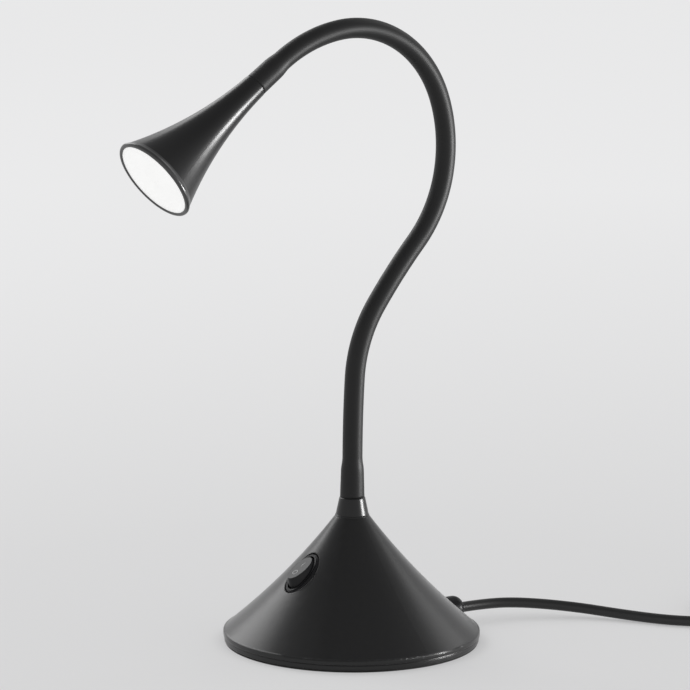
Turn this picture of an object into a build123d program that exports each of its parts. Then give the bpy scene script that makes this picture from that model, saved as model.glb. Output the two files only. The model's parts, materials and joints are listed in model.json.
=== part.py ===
from build123d import *
import math
import os

# A desk lamp on a weighted conical base, with a flexible gooseneck, a trumpet-shaped LED head,
# a rocker switch in the front of the base and a mains cord with a two-pin plug.
# Millimetres, +Z up. The origin is the middle of the underside. The neck bends in the YZ
# plane and the head looks towards -Y.

os.makedirs("parts", exist_ok=True)

# ------------------------------------------------------------------ driving sizes
RUNNING_GAP = 0.3  # between pieces that move on each other
FIT_GAP = 0.1  # between pieces that are pushed together by hand
THREAD_GAP = 0.05  # between a thread and its hole, both drawn plain

# base, seen from above: how far its switch and cord are turned about the neck's plane
BASE_TURN = -2.9
PAD_THICKNESS = 1.2
RIM_RADIUS = 77.7
FOOT_INSET = 0.6  # from the rim in to the foot's edge
PAD_INSET = 0.6  # from the foot's edge in to the pad's
RIM_HEIGHT = 6.5
RIM_ROUND = 1.0
GROOVE_BOTTOM = 4.0  # of the groove round the rim, above the table
GROOVE_TOP = 4.5
GROOVE_DEPTH = 0.7
FLANK_MID_RADIUS = 42.0
FLANK_MID_HEIGHT = 40.15
SHELL_TOP_RADIUS = 10.3
SHELL_TOP = 77.6
SHELL_WALL = 2.6
SHELL_CEILING = 70.0
PLATE_THICKNESS = 2.0
BOSS_INSET = 15.5  # from the rim in to the middle of a boss
BOSS_RADIUS = 4.0
BOSS_COUNT = 3
SCREW_RADIUS = 1.25
SCREW_LENGTH = 10.0
SCREW_HEAD_RADIUS = 3.2
SCREW_HEAD_HEIGHT = 1.3
WEIGHT_THICKNESS = 9.0
WEIGHT_HOLE_RADIUS = 20.0
WEIGHT_CHAMFER = 1.5
WEIGHT_NOTCH_WIDTH = 16.0

# neck: a wound steel conduit in a soft sleeve, drawn as equal links between bending points
SLEEVE_RADIUS = 6.05
CONDUIT_RADIUS = 4.0
CONDUIT_BORE = 2.0
LEAD_RADIUS = 1.5
FIRST_PIVOT_REACH = 10.0  # from the end of the stiff fitting to the first bending point
LINK_LENGTH = 46.6
# how far each link leans towards the front along its length, in degrees
LINK_TURNS = (-3.4, -32.9, -7.2, 33.4, 30.7, 38.8, 37.4, 28.1)
LAST_PIVOT_REACH = 6.3  # from the last bending point to the stiff fitting in the head

# fittings at the ends of the neck
COLLAR_HEIGHT = 11.3
COLLAR_TOP_RADIUS = 7.7
COLLAR_BEAD = 0.5  # height of the bead round the bottom of the collar
SHANK_RADIUS = 4.8
SHANK_BOTTOM = 58.0
FERRULE_RADIUS = 5.3
FERRULE_LENGTH = 15.7
FERRULE_FLOOR = 1.7
CUFF_RADIUS = 7.4
CUFF_END_RADIUS = 6.95
CUFF_HEAD_RADIUS = 7.1
CUFF_HEAD_END_RADIUS = 6.9
NUT_ACROSS_FLATS = 14.0
NUT_HEIGHT = 4.0
WASHER_RADIUS = 9.0
WASHER_THICKNESS = 1.2

# head, measured along its own axis from the end of the shade that meets the neck
SHADE_END_RADIUS = 7.3
SHADE_MID = (13.3, 45.0)  # radius and distance of a point halfway along the flare
SHADE_MOUTH = (25.2, 82.6)
SHADE_WALL = 1.65
SHADE_FLOOR = 14.0
NOSE_RADIUS = 4.1
NOSE_LENGTH = 20.0
HEAD_NUT_ACROSS_FLATS = 10.4
HEAD_NUT_HEIGHT = 3.6
RING_RADIUS = 26.8
RING_FRONT = 87.1
RING_SPIGOT_RADIUS = 22.8
RING_SPIGOT_LENGTH = 2.6
RING_BORE = 20.9
WINDOW_RADIUS = 24.4
DIFFUSER_RADIUS = 24.9
DIFFUSER_BACK = 84.2
DIFFUSER_THICKNESS = 2.2
DIFFUSER_CROWN = 0.5
LED_BOARD_RADIUS = 19.0
LED_BOARD_BACK = 77.9
BOARD_THICKNESS = 1.6
LED_CIRCLE = 12.0
LED_COUNT = 9
LED_SIZE = 3.0
LED_HEIGHT = 0.8
SINK_LENGTH = 15.0
SINK_CORE_RADIUS = 8.0
SINK_FIN_RADIUS = 14.4
SINK_FLANGE_THICKNESS = 2.0
SINK_FIN_COUNT = 10
SINK_FIN_THICKNESS = 1.5
REFLECTOR_FLOOR_RADIUS = 16.6
REFLECTOR_MOUTH_RADIUS = 20.4
REFLECTOR_WALL = 0.8

# switch, measured from a plane that touches the flank at the switch's middle
SWITCH_HEIGHT = 46.3
RECESS = (10.75, 14.8)  # half the width and half the height of its oval
RECESS_DEPTH = 2.2
SWITCH_PAD = 3.0
BEZEL_CLEARANCE = 0.35
BEZEL_LIP = 0.45
BEZEL_EDGE = 0.8
SWITCH_WALL = 1.15
SWITCH_DEPTH = 18.6
SWITCH_FLOOR = 1.6
ROCKER_PIVOT_DEPTH = 3.5
ROCKER_RADIUS = 11.7
ROCKER_HALF_WIDTH = 7.5
ROCKER_FACE = 7.0  # from the pivot to the flat face
ROCKER_BELLY = 2.6
ROCKER_ANGLE = 13.0  # each way from level
PIN_RADIUS = 1.0
PLUNGER_RADIUS = 1.2
LEVER_TO_BACK = 5.0  # from the lever's pivot to the back of the switch
PLUNGER_TO_LEVER = 1.1
LEVER_ANGLE = 8.0
LEVER_HALF_LENGTH = 9.0
LEVER_WIDTH = 4.0
LEVER_THICKNESS = 0.8
TAB_WIDTH = 4.8
TAB_THICKNESS = 0.8
TAB_LENGTH = 8.4
TAB_SPACING = 7.6

# electronics
TRAY = (56.0, 40.0, 1.6)
BOARD = (52.0, 36.0)
BOARD_MIDDLE = 12.0  # towards the back from the middle of the base
POST_RADIUS = 2.4
POST_HEIGHT = 4.6
BLOCK = (22.0, 10.0, 10.0)
PART_ROW = 18.0  # from the middle of the base to the row of tall parts on the board
CAPACITORS = (((14.0, 0.0), 4.0, 11.0), ((20.0, -9.0), 2.5, 7.0), ((9.0, -8.0), 2.5, 7.0))
CORE_MIDDLE = -12.0  # across the board
CORE = (16.0, 10.0, 12.0)
BOBBIN = (12.0, 15.0, 9.0)
WIRE_RADIUS = 0.8

# cord, its bush and its plug
CORD_RADIUS = 3.2
CORD_HEIGHT = 9.3
BUSH_RADIUS = 5.2
BUSH_REACH = 3.0  # out beyond the rim
BUSH_LENGTH = 22.0
BUSH_HEAD_RADIUS = 7.9
BUSH_HEAD_LENGTH = 14.7
BUSH_FLAT_HEIGHT = 5.2  # of the flat under the bush's head, above the table
BUSH_TIP_RADIUS = 4.1
BUSH_ROUND_LENGTH = 6.0
BUSH_HOUSING = (21.0, 16.0)  # width and depth of the block around it, inside the shell
JACKET_LENGTH = 7.5  # of whole cord on the inner side of the bush
CORD_STRAIGHT = 20.0  # straight out of the bush
WIRE_SPREAD = 4.0  # from the middle to each of the two wires on the board
WIRE_CLIMB = 5.0  # above the board, before a wire comes down on it
WIRE_LANDING = 6.0
COIL_MIDDLE = (98.5, 256.3)
COIL_MIDDLE_RADIUS = 34.5
COIL_COLUMNS = 4
COIL_LAYERS = 2
COIL_JOINED_AT = -42.0  # degrees round the coil, from +X
COIL_LEFT_AT = 75.0
TAIL_STRAIGHT = 16.0  # straight into the plug
PLUG_WIDTH = 26.0
PLUG_THICKNESS = 13.7
PLUG_LENGTH = 36.0
PLUG_WAIST = 12.0
RELIEF_LENGTH = 20.0
RELIEF_RADIUS = 5.0
PLUG_PIN_RADIUS = 2.0
PLUG_PIN_LENGTH = 19.0
PLUG_PIN_CHAMFER = 0.6
PLUG_PIN_SPACING = 18.6
PLUG_SEAT = 6.0  # how far the pins are moulded into the plug
PLUG_STEM_RADIUS = 1.5  # of the part that is moulded in
PLUG_MIDDLE_Y = 306.5
PLUG_REAR_X = 70.0

# ------------------------------------------------------------------ places
BASE = Plane.XY.rotated((0, 0, BASE_TURN))
FOOT_RADIUS = RIM_RADIUS - FOOT_INSET
PAD_RADIUS = FOOT_RADIUS - PAD_INSET
BOSS_CIRCLE = RIM_RADIUS - BOSS_INSET
PLATE_TOP = PAD_THICKNESS + PLATE_THICKNESS
WEIGHT_TOP = PLATE_TOP + WEIGHT_THICKNESS
WEIGHT_RADIUS = BOSS_CIRCLE - BOSS_RADIUS - 2 * RUNNING_GAP
TRAY_TOP = WEIGHT_TOP + TRAY[2]
BOARD_UNDERSIDE = TRAY_TOP + POST_HEIGHT
BOARD_TOP = BOARD_UNDERSIDE + BOARD_THICKNESS
BLOCK_TOP = BOARD_TOP + BLOCK[2]
COLLAR_TOP = SHELL_TOP + COLLAR_HEIGHT
FERRULE_TOP = COLLAR_TOP + FERRULE_LENGTH
FIRST_PIVOT_HEIGHT = FERRULE_TOP + FIRST_PIVOT_REACH
LAST_PIVOT_TO_SHADE = LAST_PIVOT_REACH + FERRULE_LENGTH
CONDUIT_START = COLLAR_TOP + FERRULE_FLOOR
CUP_RADIUS = SLEEVE_RADIUS + RUNNING_GAP
CUP_DEPTH = math.sqrt(CUP_RADIUS**2 - SLEEVE_RADIUS**2)
BUSH_MOUTH = RIM_RADIUS + BUSH_REACH
BUSH_INNER_END = BUSH_MOUTH - BUSH_LENGTH
JACKET_END = BUSH_INNER_END - JACKET_LENGTH
BUSH_HEAD_BACK = BUSH_MOUTH - BUSH_HEAD_LENGTH
WIRE_DROP = 5.0  # where the wires leave the jacket before they climb to the board
WEIGHT_NOTCH_END = JACKET_END - 2 * WIRE_DROP
LEVER_PIVOT_DEPTH = SWITCH_DEPTH - LEVER_TO_BACK
PLUNGER_REACH = LEVER_PIVOT_DEPTH - ROCKER_PIVOT_DEPTH - PLUNGER_TO_LEVER


def base_point(x, y, z):
    """A point of the base, which is turned a little about the neck's plane."""
    return BASE.from_local_coords(Vector(x, y, z))


def up_the_axis(height):
    """A level plane on the lamp's axis."""
    return Plane.XY.offset(height)


def side_of(plane):
    """The plane in which an outline is drawn as (radius, distance) about another's normal."""
    return Plane(plane.origin, x_dir=plane.x_dir, z_dir=plane.x_dir.cross(plane.z_dir))


def axis_of(plane):
    """The line through a plane's origin along its normal."""
    return Axis(plane.origin, plane.z_dir)


def write(piece, name):
    """Labels a finished piece and writes it to a file of the same name."""
    piece.part.label = name
    export_step(piece.part, f"parts/{name}.step")


def turned(plane, *outline):
    """A piece turned on a lathe: straight lines through (radius, distance) points."""
    with BuildPart() as piece:
        with BuildSketch(side_of(plane)):
            with BuildLine():
                Polyline(*outline, close=True)
            make_face()
        revolve(axis=axis_of(plane))
    return piece


# ------------------------------------------------------------------ the neck's own line
def heading(lean):
    """The way the neck points where it leans this far towards the front, in degrees."""
    lean = math.radians(lean)
    return Vector(0, -math.sin(lean), math.cos(lean))


def inwards(lean):
    """Square to the neck, towards the side that it bends to."""
    return heading(lean + 90)


class Station:
    """A point of the neck's line, with how far the neck leans there."""

    def __init__(self, point, lean):
        self.point = point
        self.lean = lean
        self.plane = Plane(point, x_dir=(1, 0, 0), z_dir=heading(lean))

    def bent(self, turn, share=1.0):
        """The station after a share of one link that bends by turn degrees."""
        radius = LINK_LENGTH / math.radians(turn)
        middle = self.point + inwards(self.lean) * radius
        lean = self.lean + turn * share
        return Station(middle - inwards(lean) * radius, lean)


PIVOTS = [Station(Vector(0, 0, FIRST_PIVOT_HEIGHT), 0)]
for turn in LINK_TURNS:
    PIVOTS.append(PIVOTS[-1].bent(turn))
LAST = PIVOTS[-1]
SHADE_END = LAST.point + heading(LAST.lean) * LAST_PIVOT_TO_SHADE
HEAD = Plane(SHADE_END, x_dir=(1, 0, 0), z_dir=heading(LAST.lean))


def link(number, outer, bore):
    """One link of tube: a rounded end on its own pivot, and a cup for the next link's end."""
    start = PIVOTS[number]
    middle = start.bent(LINK_TURNS[number], 0.5)
    end = PIVOTS[number + 1]
    with BuildPart() as tube:
        with BuildLine() as bend:
            ThreePointArc(start.point, middle.point, end.point)
        with BuildSketch(start.plane):
            Circle(outer)
            Circle(bore, mode=Mode.SUBTRACT)
        sweep(path=bend.line)
        add(rounded_end(start, outer, bore))
        with Locations(end.point):
            Sphere(CUP_RADIUS, mode=Mode.SUBTRACT)
    return tube


def rounded_end(station, outer, bore):
    """The ball end of a tube, below its pivot: a zone of a sphere as wide as the sleeve."""
    inner_drop = math.sqrt(SLEEVE_RADIUS**2 - bore**2)
    outer_drop = math.sqrt(max(SLEEVE_RADIUS**2 - outer**2, 0))
    half = (math.atan2(bore, inner_drop) + math.atan2(outer, outer_drop)) / 2
    crown = (SLEEVE_RADIUS * math.sin(half), -SLEEVE_RADIUS * math.cos(half))
    with BuildPart() as ball:
        with BuildSketch(side_of(station.plane)):
            with BuildLine():
                Line((outer, 0), (bore, 0))
                Line((bore, 0), (bore, -inner_drop))
                ThreePointArc((bore, -inner_drop), crown, (outer, -outer_drop))
                if outer_drop > 0:
                    Line((outer, -outer_drop), (outer, 0))
            make_face()
        revolve(axis=axis_of(station.plane))
    return ball.part


# ------------------------------------------------------------------ base: shell
FLANK_FOOT = Vector(RIM_RADIUS - RIM_ROUND * 0.9, RIM_HEIGHT + RIM_ROUND)
FLANK_MIDDLE = Vector(FLANK_MID_RADIUS, FLANK_MID_HEIGHT)
FLANK_TOP = Vector(SHELL_TOP_RADIUS, SHELL_TOP)
FLANK = ThreePointArc(FLANK_FOOT, FLANK_MIDDLE, FLANK_TOP)
FLANK_INWARDS = (FLANK_TOP - FLANK_FOOT).normalized().rotate(Axis.Z, 90)
RIM_CORNER = (RIM_RADIUS - RIM_ROUND * 0.1, RIM_HEIGHT + RIM_ROUND * 0.6)
CAVITY_FOOT = FLANK_FOOT + FLANK_INWARDS * SHELL_WALL
CAVITY_RADIUS = CAVITY_FOOT.X

# the flank is hollow, so its arc's middle lies outside the base and the surface faces it
FLANK_CENTRE = FLANK.arc_center
SWITCH_RISE = FLANK_CENTRE.Y - SWITCH_HEIGHT
SWITCH_RADIUS = FLANK_CENTRE.X - math.sqrt(FLANK.radius**2 - SWITCH_RISE**2)
SWITCH_NORMAL = Vector(0, SWITCH_RADIUS - FLANK_CENTRE.X, SWITCH_RISE).normalized()
SWITCH = Plane(
    base_point(0, -SWITCH_RADIUS, SWITCH_HEIGHT),
    x_dir=BASE.x_dir,
    z_dir=base_point(*SWITCH_NORMAL),
)
OPENING = (ROCKER_HALF_WIDTH + BEZEL_CLEARANCE, ROCKER_RADIUS + BEZEL_CLEARANCE)
SWITCH_BODY = (OPENING[0] + SWITCH_WALL, OPENING[1] + SWITCH_WALL)
SWITCH_CUTOUT = (SWITCH_BODY[0] + FIT_GAP, SWITCH_BODY[1] + FIT_GAP)
BACK = Plane(base_point(0, 0, CORD_HEIGHT), x_dir=BASE.x_dir, z_dir=base_point(0, 1, 0))

with BuildPart() as cavity:
    with BuildSketch(Plane.XZ):
        with BuildLine():
            Line((0, PAD_THICKNESS), (CAVITY_RADIUS, PAD_THICKNESS))
            Line((CAVITY_RADIUS, PAD_THICKNESS), CAVITY_FOOT)
            ThreePointArc(
                *(p + FLANK_INWARDS * SHELL_WALL for p in (FLANK_FOOT, FLANK_MIDDLE, FLANK_TOP))
            )
            Line(FLANK_TOP + FLANK_INWARDS * SHELL_WALL, (0, SHELL_TOP - SHELL_WALL))
            Line((0, SHELL_TOP - SHELL_WALL), (0, PAD_THICKNESS))
        make_face()
    revolve(axis=Axis.Z)
    split(bisect_by=up_the_axis(SHELL_CEILING), keep=Keep.BOTTOM)
    # screw bosses, the switch's seat and the cord bush's housing are left standing
    with BuildSketch(BASE.offset(PLATE_TOP)):
        with PolarLocations(BOSS_CIRCLE, BOSS_COUNT, start_angle=30):
            Circle(BOSS_RADIUS)
    extrude(amount=SHELL_CEILING, mode=Mode.SUBTRACT)
    with BuildSketch(SWITCH.offset(-RECESS_DEPTH - SWITCH_PAD)):
        Ellipse(RECESS[0] + SHELL_WALL, RECESS[1] + SHELL_WALL)
    extrude(amount=SHELL_CEILING, mode=Mode.SUBTRACT)
    with BuildSketch(BASE.offset(PLATE_TOP + FIT_GAP)):
        with Locations((0, CAVITY_RADIUS - BUSH_HOUSING[1] / 2 + RIM_ROUND)):
            Rectangle(*BUSH_HOUSING)
    extrude(amount=CORD_HEIGHT + BUSH_HEAD_RADIUS - PLATE_TOP + SHELL_WALL, mode=Mode.SUBTRACT)

with BuildPart() as bush_hole:
    with BuildSketch(BACK.offset(BUSH_HEAD_BACK - FIT_GAP)):
        Circle(BUSH_HEAD_RADIUS + FIT_GAP)
    extrude(amount=RIM_RADIUS)
    split(bisect_by=up_the_axis(BUSH_FLAT_HEIGHT - FIT_GAP), keep=Keep.TOP)
    with BuildSketch(BACK.offset(BUSH_INNER_END)):
        Circle(BUSH_RADIUS + FIT_GAP)
    extrude(amount=BUSH_HEAD_BACK - BUSH_INNER_END)

with BuildPart() as base_shell:
    with BuildSketch(Plane.XZ):
        with BuildLine():
            Line((0, PAD_THICKNESS), (FOOT_RADIUS, PAD_THICKNESS))
            Polyline(
                (FOOT_RADIUS, PAD_THICKNESS),
                (FOOT_RADIUS, GROOVE_BOTTOM),
                (RIM_RADIUS - GROOVE_DEPTH - FOOT_INSET, GROOVE_BOTTOM),
                (RIM_RADIUS - GROOVE_DEPTH, GROOVE_TOP),
                (RIM_RADIUS, GROOVE_TOP),
                (RIM_RADIUS, RIM_HEIGHT),
            )
            ThreePointArc((RIM_RADIUS, RIM_HEIGHT), RIM_CORNER, FLANK_FOOT)
            ThreePointArc(FLANK_FOOT, FLANK_MIDDLE, FLANK_TOP)
            Line(FLANK_TOP, (0, SHELL_TOP))
            Line((0, SHELL_TOP), (0, PAD_THICKNESS))
        make_face()
    revolve(axis=Axis.Z)
    add(cavity.part, mode=Mode.SUBTRACT)
    # hole for the neck's threaded shank
    with BuildSketch(up_the_axis(SHELL_CEILING)):
        Circle(SHANK_RADIUS + FIT_GAP)
    extrude(amount=SHELL_TOP, mode=Mode.SUBTRACT)
    # oval recess for the switch, and the cut-out for its body
    with BuildSketch(SWITCH.offset(-RECESS_DEPTH)):
        Ellipse(*RECESS)
    extrude(amount=SHELL_TOP, mode=Mode.SUBTRACT)
    with BuildSketch(SWITCH.offset(-SWITCH_DEPTH)):
        Ellipse(*SWITCH_CUTOUT)
    extrude(amount=SWITCH_DEPTH, mode=Mode.SUBTRACT)
    # hole for the cord's bush
    add(bush_hole.part, mode=Mode.SUBTRACT)
    # pilot holes for the bottom screws
    with BuildSketch(BASE.offset(PLATE_TOP)):
        with PolarLocations(BOSS_CIRCLE, BOSS_COUNT, start_angle=30):
            Circle(SCREW_RADIUS + THREAD_GAP)
    extrude(amount=SCREW_LENGTH, mode=Mode.SUBTRACT)
write(base_shell, "base_shell")

# ------------------------------------------------------------------ base: underside
with BuildPart() as base_pad:
    with BuildSketch():
        Circle(PAD_RADIUS)
    extrude(amount=PAD_THICKNESS)
write(base_pad, "base_pad")

with BuildPart() as base_plate:
    with BuildSketch(BASE.offset(PAD_THICKNESS)):
        Circle(CAVITY_RADIUS - RUNNING_GAP)
        with PolarLocations(BOSS_CIRCLE, BOSS_COUNT, start_angle=30):
            Circle(SCREW_RADIUS + FIT_GAP, mode=Mode.SUBTRACT)
    extrude(amount=PLATE_THICKNESS)
    with BuildSketch(BASE.offset(PAD_THICKNESS)):
        with PolarLocations(BOSS_CIRCLE, BOSS_COUNT, start_angle=30):
            Circle(SCREW_HEAD_RADIUS + FIT_GAP)
    extrude(amount=SCREW_HEAD_HEIGHT, mode=Mode.SUBTRACT)
write(base_plate, "base_plate")

with BuildPart() as base_screws:
    with BuildSketch(BASE.offset(PAD_THICKNESS)):
        with PolarLocations(BOSS_CIRCLE, BOSS_COUNT, start_angle=30):
            Circle(SCREW_HEAD_RADIUS)
    extrude(amount=SCREW_HEAD_HEIGHT)
    with BuildSketch(BASE.offset(PAD_THICKNESS + SCREW_HEAD_HEIGHT)):
        with PolarLocations(BOSS_CIRCLE, BOSS_COUNT, start_angle=30):
            Circle(SCREW_RADIUS)
    extrude(amount=SCREW_LENGTH)
write(base_screws, "base_screws")

with BuildPart() as base_weight:
    with BuildSketch(BASE.offset(PLATE_TOP)):
        Circle(WEIGHT_RADIUS)
        Circle(WEIGHT_HOLE_RADIUS, mode=Mode.SUBTRACT)
        with Locations((0, WEIGHT_NOTCH_END)):
            Rectangle(
                WEIGHT_NOTCH_WIDTH,
                WEIGHT_RADIUS,
                align=(Align.CENTER, Align.MIN),
                mode=Mode.SUBTRACT,
            )
    extrude(amount=WEIGHT_THICKNESS)
    chamfer(base_weight.faces().sort_by(Axis.Z)[-1].outer_wire().edges(), length=WEIGHT_CHAMFER)
write(base_weight, "base_weight")

# ------------------------------------------------------------------ neck fittings in the base
neck_collar = turned(
    up_the_axis(SHELL_TOP),
    (SHANK_RADIUS + FIT_GAP, 0),
    (SHELL_TOP_RADIUS, 0),
    (SHELL_TOP_RADIUS, COLLAR_BEAD),
    (SHELL_TOP_RADIUS - 0.8 * COLLAR_BEAD, 2 * COLLAR_BEAD),
    (COLLAR_TOP_RADIUS + 0.1, COLLAR_HEIGHT - 0.4),
    (COLLAR_TOP_RADIUS - 0.3, COLLAR_HEIGHT),
    (SHANK_RADIUS + FIT_GAP, COLLAR_HEIGHT),
)
write(neck_collar, "neck_collar")

base_ferrule = turned(
    up_the_axis(0),
    (CONDUIT_BORE, SHANK_BOTTOM),
    (SHANK_RADIUS, SHANK_BOTTOM),
    (SHANK_RADIUS, COLLAR_TOP),
    (FERRULE_RADIUS, COLLAR_TOP),
    (FERRULE_RADIUS, FERRULE_TOP),
    (CONDUIT_RADIUS + THREAD_GAP, FERRULE_TOP),
    (CONDUIT_RADIUS + THREAD_GAP, CONDUIT_START),
    (CONDUIT_BORE, CONDUIT_START),
)
write(base_ferrule, "base_ferrule")

with BuildPart() as neck_washer:
    with BuildSketch(up_the_axis(SHELL_CEILING - WASHER_THICKNESS)):
        Circle(WASHER_RADIUS)
        Circle(SHANK_RADIUS + FIT_GAP, mode=Mode.SUBTRACT)
    extrude(amount=WASHER_THICKNESS)
write(neck_washer, "neck_washer")

with BuildPart() as neck_nut:
    with BuildSketch(up_the_axis(SHELL_CEILING - WASHER_THICKNESS - NUT_HEIGHT)):
        RegularPolygon(NUT_ACROSS_FLATS / 2, 6, major_radius=False)
        Circle(SHANK_RADIUS + THREAD_GAP, mode=Mode.SUBTRACT)
    extrude(amount=NUT_HEIGHT)
write(neck_nut, "neck_nut")

# ------------------------------------------------------------------ neck: fixed lower end
with BuildPart() as sleeve_0:
    with BuildSketch(side_of(up_the_axis(0))):
        with BuildLine():
            Line((FERRULE_RADIUS + THREAD_GAP, COLLAR_TOP), (CUFF_RADIUS, COLLAR_TOP))
            Line((CUFF_RADIUS, COLLAR_TOP), (CUFF_END_RADIUS, FERRULE_TOP))
            Spline(
                (CUFF_END_RADIUS, FERRULE_TOP),
                (SLEEVE_RADIUS, FIRST_PIVOT_HEIGHT - CUP_DEPTH),
                tangents=((-0.1, 1), (-0.02, 1)),
            )
            Polyline(
                (SLEEVE_RADIUS, FIRST_PIVOT_HEIGHT - CUP_DEPTH),
                (SLEEVE_RADIUS, FIRST_PIVOT_HEIGHT),
                (CONDUIT_RADIUS + FIT_GAP, FIRST_PIVOT_HEIGHT),
                (CONDUIT_RADIUS + FIT_GAP, FERRULE_TOP + FIT_GAP),
                (FERRULE_RADIUS + THREAD_GAP, FERRULE_TOP + FIT_GAP),
                (FERRULE_RADIUS + THREAD_GAP, COLLAR_TOP),
            )
        make_face()
    revolve(axis=Axis.Z)
    with Locations(PIVOTS[0].point):
        Sphere(CUP_RADIUS, mode=Mode.SUBTRACT)
write(sleeve_0, "sleeve_0")

with BuildPart() as conduit_0:
    with BuildSketch(up_the_axis(CONDUIT_START)):
        Circle(CONDUIT_RADIUS)
        Circle(CONDUIT_BORE, mode=Mode.SUBTRACT)
    extrude(amount=FIRST_PIVOT_HEIGHT - CONDUIT_START)
    with Locations(PIVOTS[0].point):
        Sphere(CUP_RADIUS, mode=Mode.SUBTRACT)
write(conduit_0, "conduit_0")

# ------------------------------------------------------------------ neck: bending links
for number in range(len(LINK_TURNS)):
    write(link(number, SLEEVE_RADIUS, CONDUIT_RADIUS + FIT_GAP), f"sleeve_{number + 1}")
    write(link(number, CONDUIT_RADIUS, CONDUIT_BORE), f"conduit_{number + 1}")

# ------------------------------------------------------------------ neck: upper end, on the head
HEAD_SLEEVE = f"sleeve_{len(PIVOTS)}"
HEAD_CONDUIT = f"conduit_{len(PIVOTS)}"
FERRULE_BACK = -FERRULE_LENGTH

with BuildPart() as sleeve_head:
    with BuildSketch(side_of(HEAD)):
        with BuildLine():
            Polyline(
                (CONDUIT_RADIUS + FIT_GAP, FERRULE_BACK - FIT_GAP),
                (CONDUIT_RADIUS + FIT_GAP, -LAST_PIVOT_TO_SHADE),
                (SLEEVE_RADIUS, -LAST_PIVOT_TO_SHADE),
            )
            Spline(
                (SLEEVE_RADIUS, -LAST_PIVOT_TO_SHADE),
                (CUFF_HEAD_END_RADIUS, FERRULE_BACK),
                tangents=((0.02, 1), (0.1, 1)),
            )
            Polyline(
                (CUFF_HEAD_END_RADIUS, FERRULE_BACK),
                (CUFF_HEAD_RADIUS, 0),
                (FERRULE_RADIUS + THREAD_GAP, 0),
                (FERRULE_RADIUS + THREAD_GAP, FERRULE_BACK - FIT_GAP),
                (CONDUIT_RADIUS + FIT_GAP, FERRULE_BACK - FIT_GAP),
            )
        make_face()
    revolve(axis=axis_of(HEAD))
    add(rounded_end(LAST, SLEEVE_RADIUS, CONDUIT_RADIUS + FIT_GAP))
write(sleeve_head, HEAD_SLEEVE)

with BuildPart() as conduit_head:
    with BuildSketch(LAST.plane):
        Circle(CONDUIT_RADIUS)
        Circle(CONDUIT_BORE, mode=Mode.SUBTRACT)
    extrude(amount=LAST_PIVOT_TO_SHADE - FERRULE_FLOOR)
    add(rounded_end(LAST, CONDUIT_RADIUS, CONDUIT_BORE))
write(conduit_head, HEAD_CONDUIT)

head_ferrule = turned(
    HEAD,
    (CONDUIT_RADIUS + THREAD_GAP, FERRULE_BACK),
    (FERRULE_RADIUS, FERRULE_BACK),
    (FERRULE_RADIUS, 0),
    (NOSE_RADIUS, 0),
    (NOSE_RADIUS, NOSE_LENGTH),
    (CONDUIT_BORE, NOSE_LENGTH),
    (CONDUIT_BORE, -FERRULE_FLOOR),
    (CONDUIT_RADIUS + THREAD_GAP, -FERRULE_FLOOR),
)
write(head_ferrule, "head_ferrule")

with BuildPart() as head_nut:
    with BuildSketch(HEAD.offset(SHADE_FLOOR)):
        RegularPolygon(HEAD_NUT_ACROSS_FLATS / 2, 6, major_radius=False)
        Circle(NOSE_RADIUS + THREAD_GAP, mode=Mode.SUBTRACT)
    extrude(amount=HEAD_NUT_HEIGHT)
write(head_nut, "head_nut")

# ------------------------------------------------------------------ neck: the lead inside it
with BuildPart() as neck_lead:
    with BuildLine() as lead_line:
        Line(Vector(0, 0, BLOCK_TOP), PIVOTS[0].point)
        for start, turn in zip(PIVOTS, LINK_TURNS):
            ThreePointArc(start.point, start.bent(turn, 0.5).point, start.bent(turn).point)
        Line(LAST.point, HEAD.from_local_coords(Vector(0, 0, LED_BOARD_BACK)))
    with BuildSketch(Plane(lead_line.line @ 0, x_dir=(1, 0, 0), z_dir=(0, 0, 1))):
        Circle(LEAD_RADIUS)
    sweep(path=lead_line.line)
write(neck_lead, "neck_lead")

# ------------------------------------------------------------------ head
MOUTH_RADIUS, MOUTH = SHADE_MOUTH
SHADE_INSIDE = [
    (SHADE_END_RADIUS - SHADE_WALL, 0),
    (SHADE_MID[0] - SHADE_WALL, SHADE_MID[1]),
    (MOUTH_RADIUS - SHADE_WALL, MOUTH),
]
SPIGOT_BACK = MOUTH - RING_SPIGOT_LENGTH

with BuildPart() as shade:
    with BuildSketch(side_of(HEAD)):
        with BuildLine():
            Line((0, 0), (SHADE_END_RADIUS, 0))
            ThreePointArc((SHADE_END_RADIUS, 0), SHADE_MID, SHADE_MOUTH)
            Line(SHADE_MOUTH, (0, MOUTH))
            Line((0, MOUTH), (0, 0))
        make_face()
    revolve(axis=axis_of(HEAD))
    with BuildPart(mode=Mode.PRIVATE) as hollow:
        with BuildSketch(side_of(HEAD)):
            with BuildLine():
                Line((0, 0), SHADE_INSIDE[0])
                ThreePointArc(*SHADE_INSIDE)
                Line(SHADE_INSIDE[-1], (0, MOUTH))
                Line((0, MOUTH), (0, 0))
            make_face()
        revolve(axis=axis_of(HEAD))
        split(bisect_by=HEAD.offset(SHADE_FLOOR), keep=Keep.TOP)
    add(hollow.part, mode=Mode.SUBTRACT)
    with BuildSketch(HEAD):
        Circle(NOSE_RADIUS + FIT_GAP)
    extrude(amount=SHADE_FLOOR, mode=Mode.SUBTRACT)
    with BuildSketch(HEAD.offset(SPIGOT_BACK - FIT_GAP)):
        Circle(RING_SPIGOT_RADIUS + FIT_GAP)
    extrude(amount=RING_SPIGOT_LENGTH + FIT_GAP, mode=Mode.SUBTRACT)
write(shade, "shade")

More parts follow.
